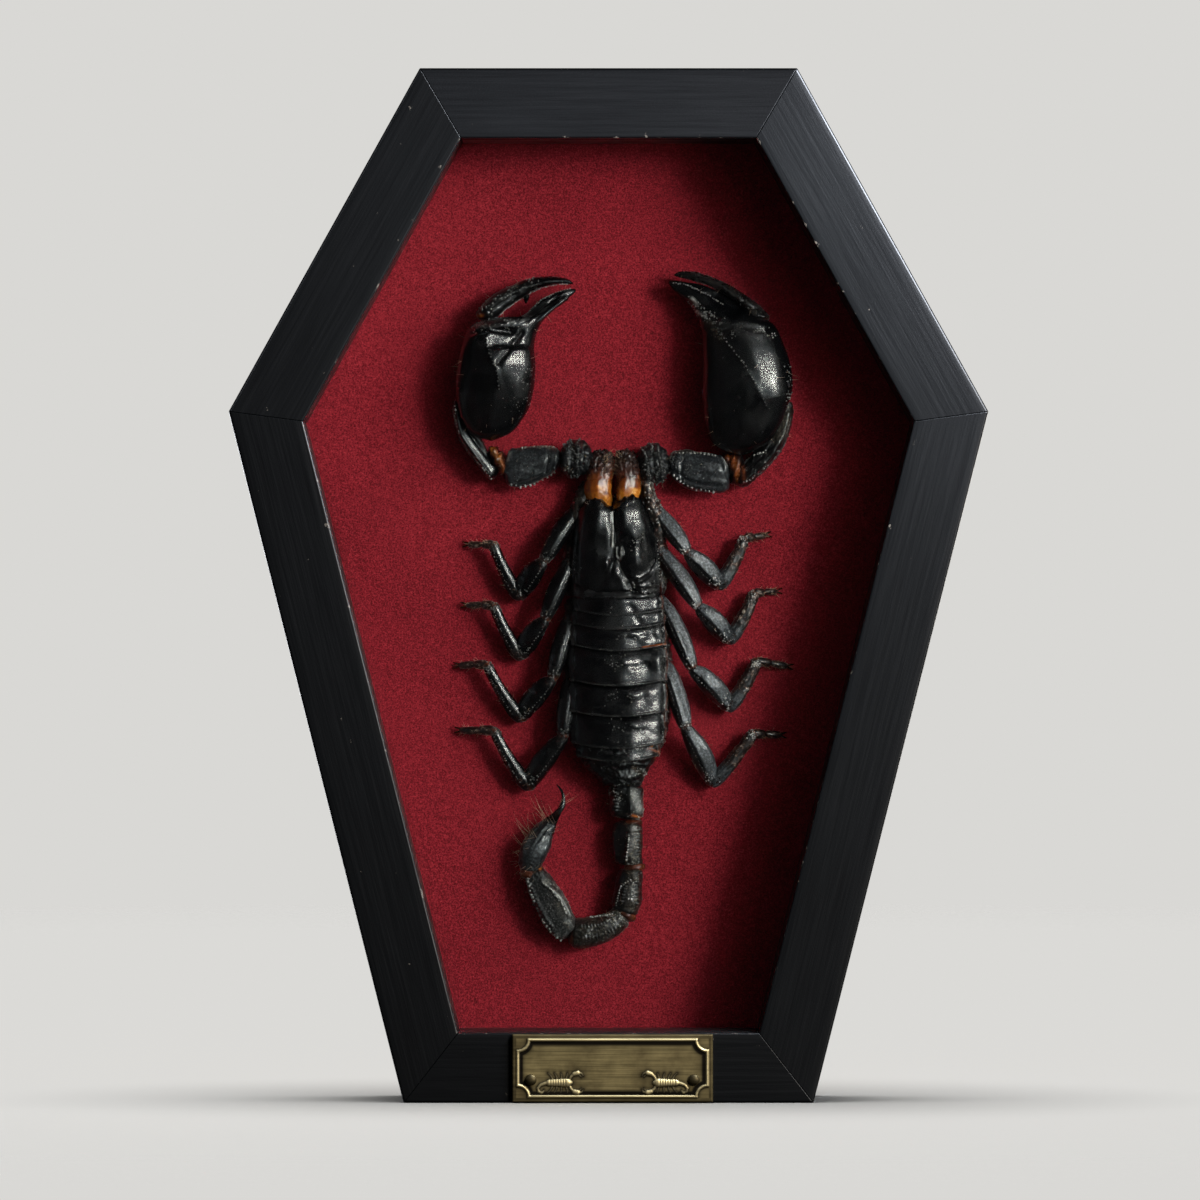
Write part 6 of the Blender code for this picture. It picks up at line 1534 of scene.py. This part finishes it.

# The tail: five keeled segments, each with rows of granules along its keels, and the sting
# Pale keel lines and pale granule tips on the tail are painted highlights; the satin grey is partly painted
# sheen
tailSegments = [
    {
        "rows": [(-1.2, -36.8, 4.2, -37, 4.2, 2.4), (-2, -38.2, 4.8, -38.4, 4.2, 2.9),
            (-2, -40.4, 4.8, -40.6, 4.2, 3.0), (-1.8, -42.6, 4.8, -42.6, 4.2, 2.9),
            (-1.2, -44, 4.4, -44.4, 4.2, 2.4)],
        "bulges": [([(0.6, -41), (0.8, -43.2)], 1.4, -0.8)],
        "ridges": [
            ([(-0.4, -37.6), (-0.8, -42.8)], 0.4, 0.4, 0.7), ([(2.2, -37.6), (2.4, -43.2)], 0.4, 0.45),
        ],
        "zones": [
            ("frost", "line", [(3, -39.2), (4, -42)], 0.8, 0.35),
            ("membrane", "line", [(2.6, -43.4), (4.2, -44)], 0.5, 0.85),
        ],
        "studs": [
            scattered([(-1.6, -38.4), (0, -40.2)], 0.8, 40, radius=0.15, frost=0.4),
            scattered([(2.8, -39.2), (4.4, -42.4)], 0.9, 50, radius=0.14, frost=0.5),
            scattered([(2.2, -43.4), (4.2, -44.2)], 0.5, 30, radius=0.14, frost=0.5),
        ],
    },
    {
        "rows": [(-0.6, -44.4, 4.4, -44.8, 4.1, 2.2), (-1.2, -46.3, 4.6, -46.5, 4.1, 2.7),
            (-1.2, -48.9, 4.6, -49.1, 4.1, 2.8), (-1, -51.7, 4.6, -51.9, 4.1, 2.8),
            (-0.4, -53.5, 4.8, -53.9, 4.1, 2.3)],
        "bulges": [([(0.2, -46.1), (0.2, -52.1)], 1.3, -0.7)],
        "ridges": [
            ([(2, -47.1), (1.8, -49.5), (1.4, -52.7)], 0.35, 0.6, 0.65),
            ([(4, -46.5), (4, -52.5)], 0.35, 0.4, 0.7),
        ],
        "zones": [("tan", "line", [(3.2, -46.1), (3, -52.9)], 1.1, 0.75)],
        "studs": [
            beaded([(2, -47.1), (1.8, -49.5), (1.4, -52.7)], 0.5, radius=0.22, frost=0.6),
            scattered([(3.4, -46.1), (3.2, -52.9)], 1.0, 50, radius=0.13, frost=0.2),
            scattered([(2.2, -53.3), (4.4, -54.1)], 0.6, 30, radius=0.14, frost=0.4),
        ],
    },
    {
        "rows": [(0.2, -53.9, 4.8, -54.3, 4.0, 2.2), (-0.4, -56, 4.8, -56.4, 4.0, 2.7),
            (-1, -58.8, 4.6, -59.2, 4.0, 2.8), (-1.4, -61, 4.2, -61.8, 4.0, 2.8),
            (-1.4, -62.4, 3, -64.4, 4.0, 2.3)],
        "ridges": [
            ([(2.6, -56.2), (1, -58.2), (0.4, -61.2)], 0.35, 0.5, 0.65),
            ([(3.8, -54.9), (3.6, -61.2)], 0.35, 0.4, 0.7),
        ],
        "zones": [("tan", "line", [(3, -54.9), (2.8, -62.2)], 1.2, 0.65)],
        "studs": [
            beaded([(2.4, -56.4), (0.4, -57.8), (-0.2, -59.8), (-0.6, -61.8)], 0.52, radius=0.2, frost=0.4),
            scattered([(3, -54.9), (3, -62.2)], 1.1, 50, radius=0.13, frost=0.2),
        ],
    },
    {
        "rows": [(-0.8, -61.6, 2.6, -64.8, 3.9, 2.1), (-2.2, -63, 0.6, -67.1, 3.9, 2.6),
            (-3.9, -63.6, -2, -68.7, 3.9, 2.8), (-5.9, -64, -5.1, -69.9, 3.9, 2.8),
            (-7.9, -64.2, -8.3, -70.3, 3.9, 2.7), (-9.3, -64.6, -9.9, -69.9, 3.9, 2.2)],
        "ridges": [
            ([(-1.4, -64.2), (-3.9, -65.4), (-7.5, -65.9)], 0.35, 0.5, 0.65),
            ([(-0.2, -65.9), (-3.4, -67.7), (-7.9, -68.3)], 0.35, 0.4, 0.7),
        ],
        "tan": 0.4, "dull": 0.9,
        "zones": [
            ("tan", "line", [(-1.4, -63.8), (1.8, -65)], 0.9, 0.8),
            ("membrane", "line", [(-9.3, -64.8), (-9.5, -67.9)], 0.5, 0.5),
        ],
        "studs": [
            beaded([(-6.1, -64.1), (-3.9, -63.9), (-1.4, -63.4)], 0.5, radius=0.22, frost=0.7),
            scattered([(-1.4, -64.2), (1.8, -65.2)], 0.9, 50, radius=0.14, frost=0.3),
            scattered([(-6.9, -67.9), (-1.4, -67.5)], 1.2, 60, radius=0.13, frost=0.1),
        ],
    },
    {
        "rows": [(-11.5, -69.3, -8.3, -66.1, 3.9, 2.1), (-14, -67.1, -9.1, -64, 3.9, 2.8),
            (-15.8, -64.2, -10.3, -61.2, 3.9, 3.0), (-17.2, -61.2, -11.9, -58.4, 3.9, 3.0),
            (-18.4, -58.4, -13.7, -56, 3.9, 2.9), (-19, -55.8, -16, -53.7, 3.9, 2.2)],
        "profile": [
            (0, [(-1, 0.7), (0.2, 1.08), (0.62, 1.05), (0.9, 0.75), (1, 0.7)]),
            (1, [(-1, 0.7), (0.2, 1.08), (0.62, 1.05), (0.9, 0.75), (1, 0.7)]),
        ],
        "ridges": [
            ([(-15.4, -57), (-13.5, -58.6), (-11.7, -60.8), (-10.1, -63.8)], 0.3, 0.75),
            ([(-18, -57.4), (-16, -62), (-13.5, -65.9)], 0.3, 0.5, 0.8),
        ],
        "tan": 0.3, "satin": 0.5,
        "zones": [
            ("tan", "line", [(-14.4, -57.4), (-11.9, -61.6), (-10.3, -65.7)], 1.4, 0.7),
            ("frost", "line", [(-15.4, -57), (-13.5, -58.6), (-11.7, -60.8), (-10.1, -63.8)], 0.2, 0.4),
            ("membrane", "line", [(-17.2, -52.9), (-16, -54.3)], 0.5, 0.95),
        ],
        "studs": [
            beaded([(-15.6, -56.8), (-13.5, -58.6), (-11.7, -60.8), (-10.1, -63.8)],
                0.45, radius=0.2, frost=0.8),
            beaded([(-18.6, -55.8), (-18, -58.6), (-16.8, -61.6), (-15.4, -64.6), (-13.7, -67.1),
                (-11.5, -68.7)], 0.8, radius=0.32, tall=1.4, frost=0.25),
            scattered([(-14.4, -59), (-12.3, -64.2)], 1.8, 120, radius=0.11, frost=0.2),
            scattered([(-13.3, -57), (-10.5, -61.6)], 0.7, 60, radius=0.13, frost=0.5),
        ],
    },
]
tailCommon = {
    "grid": (76, 72), "rounded": (1.0, 0.7), "dull": 0.5, "folds": [(60, 0.9, 0.15, None)],
    "grains": [(0.5, 0.16, None)], "waves": [(1.6, 0.12)],
    "bristles": [{"count": 22, "length": (0.5, 1.2)}],
}
tailJoints = {
    "lines": [
        [(2.5, -44.2), (2.6, -45.9)], [(3.0, -53.1), (3.2, -54.9)], [(2.0, -62.6), (0.9, -64.3)],
        [(-8.0, -67.9), (-10.0, -67.3)], [(-17.6, -54.5), (-18.3, -56.6)],
    ],
    "look": {
        "grid": (24, 40), "rounded": (0.8, 0.8), "membrane": 0.5, "dull": 0.7, "grains": [(0.5, 0.2, None)],
    },
}
tailPatches = []
for k, segment in enumerate(tailSegments):
    tailPatches += grown({**tailCommon, **segment}, 300 + 10 * k)
for line in tailJoints["lines"]:
    route = [(u, w, 4.0, 2.1, 2.1) for u, w in line]
    tailPatches += grown({**tailJoints["look"], "rows": sections(route)})
makePiece("tailSegments", tailPatches, [cuticle, bristle], ["scorpion_tail"])

sting = {
    "rows": sections([
        (-18.0, -55.4, 4.0, 1.5, 1.5), (-18.0, -53.6, 4.1, 2.2, 2.1), (-17.3, -51.0, 4.2, 2.7, 2.5),
        (-16.2, -48.8, 4.15, 2.65, 2.35), (-15.0, -46.5, 4.2, 2.0, 1.9), (-13.5, -44.4, 4.5, 1.15, 1.15),
        (-12.2, -42.8, 5.3, 0.66, 0.75), (-11.3, -40.9, 5.3, 0.46, 0.5), (-11.5, -38.8, 4.9, 0.3, 0.3),
        (-12.6, -37.2, 4.3, 0.1, 0.1),
    ]),
    "grid": (120, 72), "rounded": (0.9, 0.4),
    "profile": [(k, [(-1, 0.5), (-0.3, 1.0), (0, 1.0), (0.9, 0.72), (1, 0.6)]) for k in (0, 1)],
    "ridges": [
        ([(-17.2, -49.7), (-14.6, -46.1), (-12.5, -43.8)], 0.3, -0.15),
        ([(-18.6, -50.1), (-17, -47.1), (-14.8, -44.8)], 0.4, -0.2),
    ],
    "zones": [
        ("dull", "line", [(-21, -50.9), (-18.6, -46.9), (-16, -44.4)], 1.0, 0.9),
        ("dull", "ramp", [(0, 0.9), (0.15, 0.5), (0.22, 0)]),
        ("satin", "ramp", [(0.1, 0.2), (0.3, 0.5), (0.6, 0)]),
        ("membrane", "line", [(-13.5, -44), (-12.5, -43)], 0.5, 0.3),
    ],
    "grains": [(0.5, 0.25, "dull"), (1.3, 0.1, None)], "waves": [(1.6, 0.08)],
    "bristles": [
        scattered([(-21.2, -50.5), (-18.4, -46.1), (-14.4, -43.4)], 1.4, 26, length=(2.6, 6.4),
            radius=0.045, stand=0.5, lean=(-0.8, 1.0, 0.1), bend=(0.1, 0.05, -0.15)),
        scattered([(-20.4, -51.5), (-19.2, -54.1)], 2.2, 24, length=(1.4, 3.4),
            radius=0.045, stand=0.4, lean=(-1.2, -0.5, 0.1)),
        scattered([(-13.5, -46.5), (-11.5, -41.6)], 1.2, 12, length=(1.6, 3.6),
            radius=0.045, stand=0.5, lean=(0.8, 0.7, 0.1)),
    ],
}
makePiece("sting", grown(sting, 400), [cuticle, bristle], ["scorpion_tail"])
print("tail made")

# Eight legs: thigh, knee piece, shin and two foot pieces with a pair of hooks. The points are hip, knee,
# shin, foot and tip
legShapes = {
    "left": (((-8.2, 18.6), (-15.3, 7.7), (-20.2, 0.7), (-25.4, 11.3), (-30.8, 11.3)), ((-8.9, 9.4),
        (-15.0, -4.1), (-19.9, -11.5), (-25.3, -1.0), (-31.2, -1.0)), ((-9.2, -2.2), (-13.4, -16.0),
        (-20.0, -23.9), (-26.7, -13.0), (-32.6, -13.2)), ((-9.2, -14.4), (-11.3, -27.8), (-18.4, -37.7),
        (-25.3, -26.3), (-32.4, -26.3))),
    "right": (((6.2, 19.0), (13.8, 9.4), (20.2, 2.8), (25.3, 12.6), (30.0, 13.2)), ((7.6, 10.6),
        (16.0, -1.5), (22.2, -8.3), (27.3, 1.5), (32.2, 1.8)), ((8.4, 0.4), (14.8, -13.8), (22.1, -21.7),
        (27.9, -12.2), (34.4, -13.4)), ((9.0, -12.2), (13.4, -25.9), (18.8, -36.9), (27.1, -26.9),
        (33.0, -27.3))),
}
legHeights = {"left": (4.0, 6.2, 3.0, 3.9, 1.1), "right": (4.0, 6.2, 3.4, 3.5, 1.1)}
# Height over x, from the edge towards the body to the outer one: the left legs have a narrow facet along
# their crest
legFacets = {
    "left": ((-1, 0.55), (-0.9, 0.7), (-0.75, 0.8), (-0.15, 1.03), (0.2, 1.0), (0.9, 0.6), (1, 0.55)),
    "right": ((-1, 0.3), (-0.92, 0.45), (-0.18, 1.05), (0.92, 0.74), (1, 0.55)),
}
# From and to which point, size along it, half width, rise, bow, grid, bristles
legParts = {
    "thigh": ((0, 1), ((-0.03, 0.45), (0.12, 0.82), (0.42, 1.08), (0.75, 1.0), (0.93, 0.74), (1.02, 0.5)),
        1.75, 1.95, 0.35, (52, 44), 6),
    "knee": ((1, 2), ((-0.06, 0.42), (0.1, 0.72), (0.35, 1.0), (0.6, 1.06), (0.85, 0.84), (1.05, 0.5)),
        2.05, 2.0, 0.5, (52, 44), 6),
    "shin": ((2, 3), ((-0.06, 0.7), (0.1, 1.05), (0.35, 1.0), (0.7, 0.84), (0.95, 0.74), (1.04, 0.6)),
        1.4, 1.4, 0.4, (46, 36), 16),
    "foot": ((3, 3.45), ((-0.1, 0.8), (0.2, 1.05), (0.8, 0.95), (1.05, 0.75)), 0.88, 0.9, 0.1, (26, 24),
        14),
    "toe": ((3.45, 4), ((-0.1, 0.8), (0.3, 1.0), (0.8, 0.85), (1.0, 0.55)), 0.72, 0.75, 0.1, (26, 24), 16),
}


# The right shins are rough from their middle on, and near the knee painted satin grey as painted sheen:
# each zone along them
roughShin = [
    ("dull", "ramp", [(0, 0.5), (0.35, 0.4), (0.45, 1), (1, 1)]),
    ("speckle", "ramp", [(0, 0), (0.35, 0), (0.48, 0.6), (1, 0.5)]),
    ("satin", "ramp", [(0, 0.6), (0.3, 0.5), (0.42, 0.0)]),
]
hook = {
    "grid": (14, 12), "rounded": (0.2, 0.1), "membrane": 0.45,
    "steps": ((-0.3, 0.15, 0.2), (0.4, 0.45, 0.25), (0.9, 0.6, 0.0), (1.1, 0.62, -0.5)),
    "radii": (0.22, 0.2, 0.13, 0.05),
}


def legPatches(joints, seed, side):
    # Each piece runs between joints, bows to one side by 4 b s (1 - s) and swells in the middle
    ends = np.array([[u, w, h] for (u, w), h in zip(joints, legHeights[side])])
    patches = []
    for k, (part, (span, swell, half, rise, bowed, grid, bristles)) in enumerate(legParts.items()):
        start, end = np.stack([np.interp(span, range(5), ends[:, axis]) for axis in range(3)], axis=-1)
        along = unit(end - start)
        foot = part in ("foot", "toe")
        rough = (side, part) == ("right", "shin")
        # The broad facet faces away from the body: right of the thigh's and knee's line on a left leg
        outer = 1 if (side == "right") == (part in ("shin", "foot", "toe")) else -1
        left = np.array([-along[1], along[0], 0]) * -outer
        spots = [(start + (end - start) * s + left * 4 * bowed * s * (1 - s), s, size) for s, size in swell]
        route = [(*spot, half * size, rise * size) for spot, s, size in spots]
        facets = [(x * outer, height) for x, height in legFacets[side]][::outer]
        beside = 0.5 if (side, part) == ("left", "shin") else -0.5
        inner = [spot[:2] + left[:2] * half * size * beside for spot, s, size in spots[1:-1]]
        zones = [("membrane", "ramp", [(0, 0.0), (0.9, 0.0), (1, 0.0 if foot else 0.85)])]
        # Only the right legs' thighs and knees get satin grey, on the facet that faces the lamp: painted
        # sheen
        if side == "right" and part in ("thigh", "knee"):
            zones += [("satin", "side", -0.3 * outer, -0.05 * outer, 0.95 if part == "thigh" else 0.85)]
        zones += roughShin if rough else [("dull", "ramp", [(0, 0.7), (0.25, 0.2), (0.85, 0.2), (1, 0.8)])]
        heading = math.degrees(math.atan2(along[1], along[0]))
        shape = {
            "rows": sections(route), "grid": grid, "rounded": (0.8, 0.7), "zones": zones,
            "speckle": 0.4 if foot else 0.0,
            "dull": 0.5 if foot else 0.4 if side == "right" else 0.05,
            "folds": [(heading, 0.9, 0.14 if foot or side == "right" else 0.02, None)],
            "grains": [(0.45, 0.4 if rough else 0.14, "dull"), (0.5, 0.1, "satin")],
            "waves": [(1.6, 0.12 if part == "knee" else 0.03)],
            "bristles": [{
                "count": bristles, "length": (0.5, 1.3), "radius": 0.05 if foot else 0.04, "facing": -0.7,
                "stand": 0.8, "lean": tuple(along * 0.7),
            }],
        }
        if not foot:
            shape["profile"] = [(0, facets), (1, facets)]
            shape["ridges"] = [(inner, 0.25, 0.15)]
            farEnd, nearEnd = [[tuple(spot[:2]) for spot, *_ in pair] for pair in (spots[-2:], spots[:2])]
            # Pale granule tips, paler on the right legs than on the left: painted highlight
            shape["studs"] = [
                beaded(inner, 0.7, radius=0.12, frost=0.3),
                scattered(farEnd, 0.9, 26, radius=0.17, frost=0.7 if side == "right" else 0.2),
                scattered(nearEnd, 0.9, 16, radius=0.16, membrane=0.4),
            ]
        patches += grown(shape, seed * 20 + k)
    forward = unit(ends[4] - ends[3])
    sideways = np.cross(forward, [0, 0, 1.0])
    for sign in (-1, 1):
        route = []
        for (a, b, c), radius in zip(hook["steps"], hook["radii"]):
            spot = ends[4] + forward * a + sideways * sign * b + np.array([0, 0, c])
            route.append((*spot, radius, radius))
        patches += grown({**hook, "rows": sections(route)})
    return patches


for side, legs in legShapes.items():
    for number, joints in enumerate(legs, 1):
        patches = legPatches(joints, number + (10 if side == "left" else 0), side)
        node = f"leg_{side}_{number}"
        makePiece(f"{side}Leg{number}", patches, [cuticle, bristle], [node])
print("legs made")


# The studio: camera, lamps, floor
studio = {
    "distance": 1800.0, "cameraX": -1.7, "cameraZ": 100.6, "lens": 270.0, "floorRadius": 0.74,
    "floorFade": 0.5, "floorY": 0.45,
}
scene = bpy.context.scene
camera = bpy.data.objects.new("camera", bpy.data.cameras.new("camera"))
camera.data.lens = studio["lens"]
camera.data.sensor_width = 36.0
camera.data.clip_start, camera.data.clip_end = 0.05, 60.0
camera.location = (studio["cameraX"] * mm, faceY - studio["distance"] * mm, studio["cameraZ"] * mm)
camera.rotation_euler = (math.radians(90), 0, 0)
scene.collection.objects.link(camera)
scene.camera = camera
scene.view_settings.view_transform = "Standard"


def addLamp(name, kind, place, aim, power, colour, size, only=()):
    # Place and aim are metres in the box's frame; the size is an area's two sides, or the angle of a sun
    lamp = bpy.data.objects.new(name, bpy.data.lights.new(name, kind))
    if kind == "AREA":
        lamp.data.shape = "RECTANGLE"
        lamp.data.size, lamp.data.size_y = size
    else:
        lamp.data.angle = size
    lamp.data.energy = power
    lamp.data.color = linear(colour)[:3]
    lamp.location = place
    away = np.array(aim) - np.array(place)
    tilt = math.atan2(math.hypot(away[0], away[1]), -away[2])
    lamp.rotation_euler = (tilt, 0, math.atan2(-away[0], away[1]))
    scene.collection.objects.link(lamp)
    if only:  # this lamp lights nothing else
        lamp.visible_camera = False
        lit = bpy.data.collections.new(name + "Lights")
        for piece in only:
            lit.objects.link(piece)
        lamp.light_linking.receiver_collection = lit


paperCode = "#d9d8d5"
world = bpy.data.worlds.new("studioAir")
scene.world = world
world.use_nodes = True
air = world.node_tree
shown = addNode(air, "LightPath")
pale = addNode(air, "Background", {"Color": linear(paperCode), "Strength": 1.0})
dim = air.nodes["Background"]
dim.inputs["Color"].default_value = linear("#8e9196")
dim.inputs["Strength"].default_value = 0.01
both = addNode(air, "MixShader", links={0: shown.outputs["Is Camera Ray"], 1: dim, 2: pale})
feed(air.nodes["World Output"], {"Surface": both})

# A round sheet of paper, as rings round a middle point
rings, around = 24, 96
floorRings = np.linspace(0.02, studio["floorRadius"], rings)
floorTurn = np.linspace(0, 2 * math.pi, around, endpoint=False)
floorPlace = np.zeros((rings, around, 3))
floorPlace[..., 0] = floorRings[:, None] * np.cos(floorTurn)
floorPlace[..., 1] = studio["floorY"] + floorRings[:, None] * np.sin(floorTurn)
floorPoints = np.concatenate([floorPlace.reshape(-1, 3), [[0, studio["floorY"], 0]]])
floorFaces = gridFaces(rings, around, True)[:, ::-1].tolist()
floorFaces += fanFaces(np.arange(around), rings * around).tolist()
floorMesh = bpy.data.meshes.new("studioFloor")
floorMesh.from_pydata(floorPoints.tolist(), [], floorFaces)
studioFloor = bpy.data.objects.new("studioFloor", floorMesh)
scene.collection.objects.link(studioFloor)
paperShine = {"Base Color": linear(paperCode), "Roughness": 0.85, "Specular IOR Level": 0.0}
paper, addPaper, paperShader = newMaterial("paleStudioPaper", paperShine)
spot = addPaper("TexCoord").outputs["Object"]
centred = addPaper("Mapping", {"Location": (0, -studio["floorY"], 0)}, {"Vector": spot})
fromMiddle = addPaper("VectorMath", {"operation": "LENGTH"}, {0: centred})
fade = {"From Min": studio["floorFade"], "From Max": studio["floorRadius"] - 0.02}
faded = addPaper("MapRange", fade, {"Value": fromMiddle.outputs["Value"]})
gone = addPaper("BsdfTransparent")
paperMix = addPaper("MixShader", links={0: faded, 1: paperShader, 2: gone})
seen = addPaper("LightPath")  # the black box isn't lit from below by its pale paper
paperSeen = addPaper("MixShader", links={0: seen.outputs["Is Camera Ray"], 1: gone, 2: paperMix})
feed(paper.node_tree.nodes["Material Output"], {"Surface": paperSeen})
floorMesh.materials.append(paper)

middle = (0, 0, 0.105)
pieces = {piece.name: piece for piece in scene.objects if piece.type == "MESH"}
box = [piece for piece in pieces.values() if piece is not studioFloor]
litRails = ("upperLeftRail", "upperRightRail", "lowerLeftRail", "lowerRightRail", "bottomRail")
sheened = [pieces[name] for name in (*litRails, "brassPlate", "leftPlatePin", "rightPlatePin")]
dried = [piece for piece in pieces.values() if "dryCuticle" in piece.data.materials]
topOnly, sideOnly = [pieces["topRail"]], [pieces["upperLeftRail"]]
allButTop = [piece for piece in box if piece not in topOnly]
addLamp("keyLamp", "AREA", (0.78, -0.96, 0.36), middle, 8.4, "#fff8ef", (0.26, 0.26), allButTop)
addLamp("topRailLamp", "AREA", (0.78, -0.96, 0.18), middle, 36.0, "#eef3ff", (0.45, 0.04), topOnly)
addLamp("leftBackLamp", "AREA", (-0.75, 1.05, 0.04), middle, 7.0, "#f4f7ff", (0.7, 0.28), box)
addLamp("rightBackLamp", "AREA", (0.85, 0.95, 0.04), middle, 5.0, "#fff8ef", (0.7, 0.28), box)
addLamp("glossLamp", "AREA", (0.78, -0.96, 0.34), middle, 10.5, "#f8fbff", (0.32, 0.36), dried)
addLamp("sheenLamp", "AREA", (0.14, -0.12, 0.25), (0, 0, 0.16), 1.6, "#e9f1ff", (0.1, 0.1), sheened)
addLamp("fillLamp", "AREA", (-1.1, -0.75, 0.15), middle, 0.025, "#e8efff", (0.2, 0.8))
addLamp("leftSideLamp", "AREA", (-0.74, -0.89, 0.6), (0, 0, 0.17), 1.0, "#eef3ff", (0.4, 0.4), sideOnly)
# The leaning sides are lit as pale paper would light them
for sideSign, railName in ((-1, "lowerLeftRail"), (1, "lowerRightRail")):
    place, aim, lit = (0.65 * sideSign, -0.7, -0.8), (0, 0, 0.07), [pieces[railName]]
    addLamp(f"{railName}Bounce", "AREA", place, aim, 0.8, "#f4f2ee", (0.5, 0.5), lit)
addLamp("floorLamp", "SUN", (0, 0, 2), (0, 0.01, 0), 3.2, "#ffffff", math.radians(40), [studioFloor])
print("studio made")
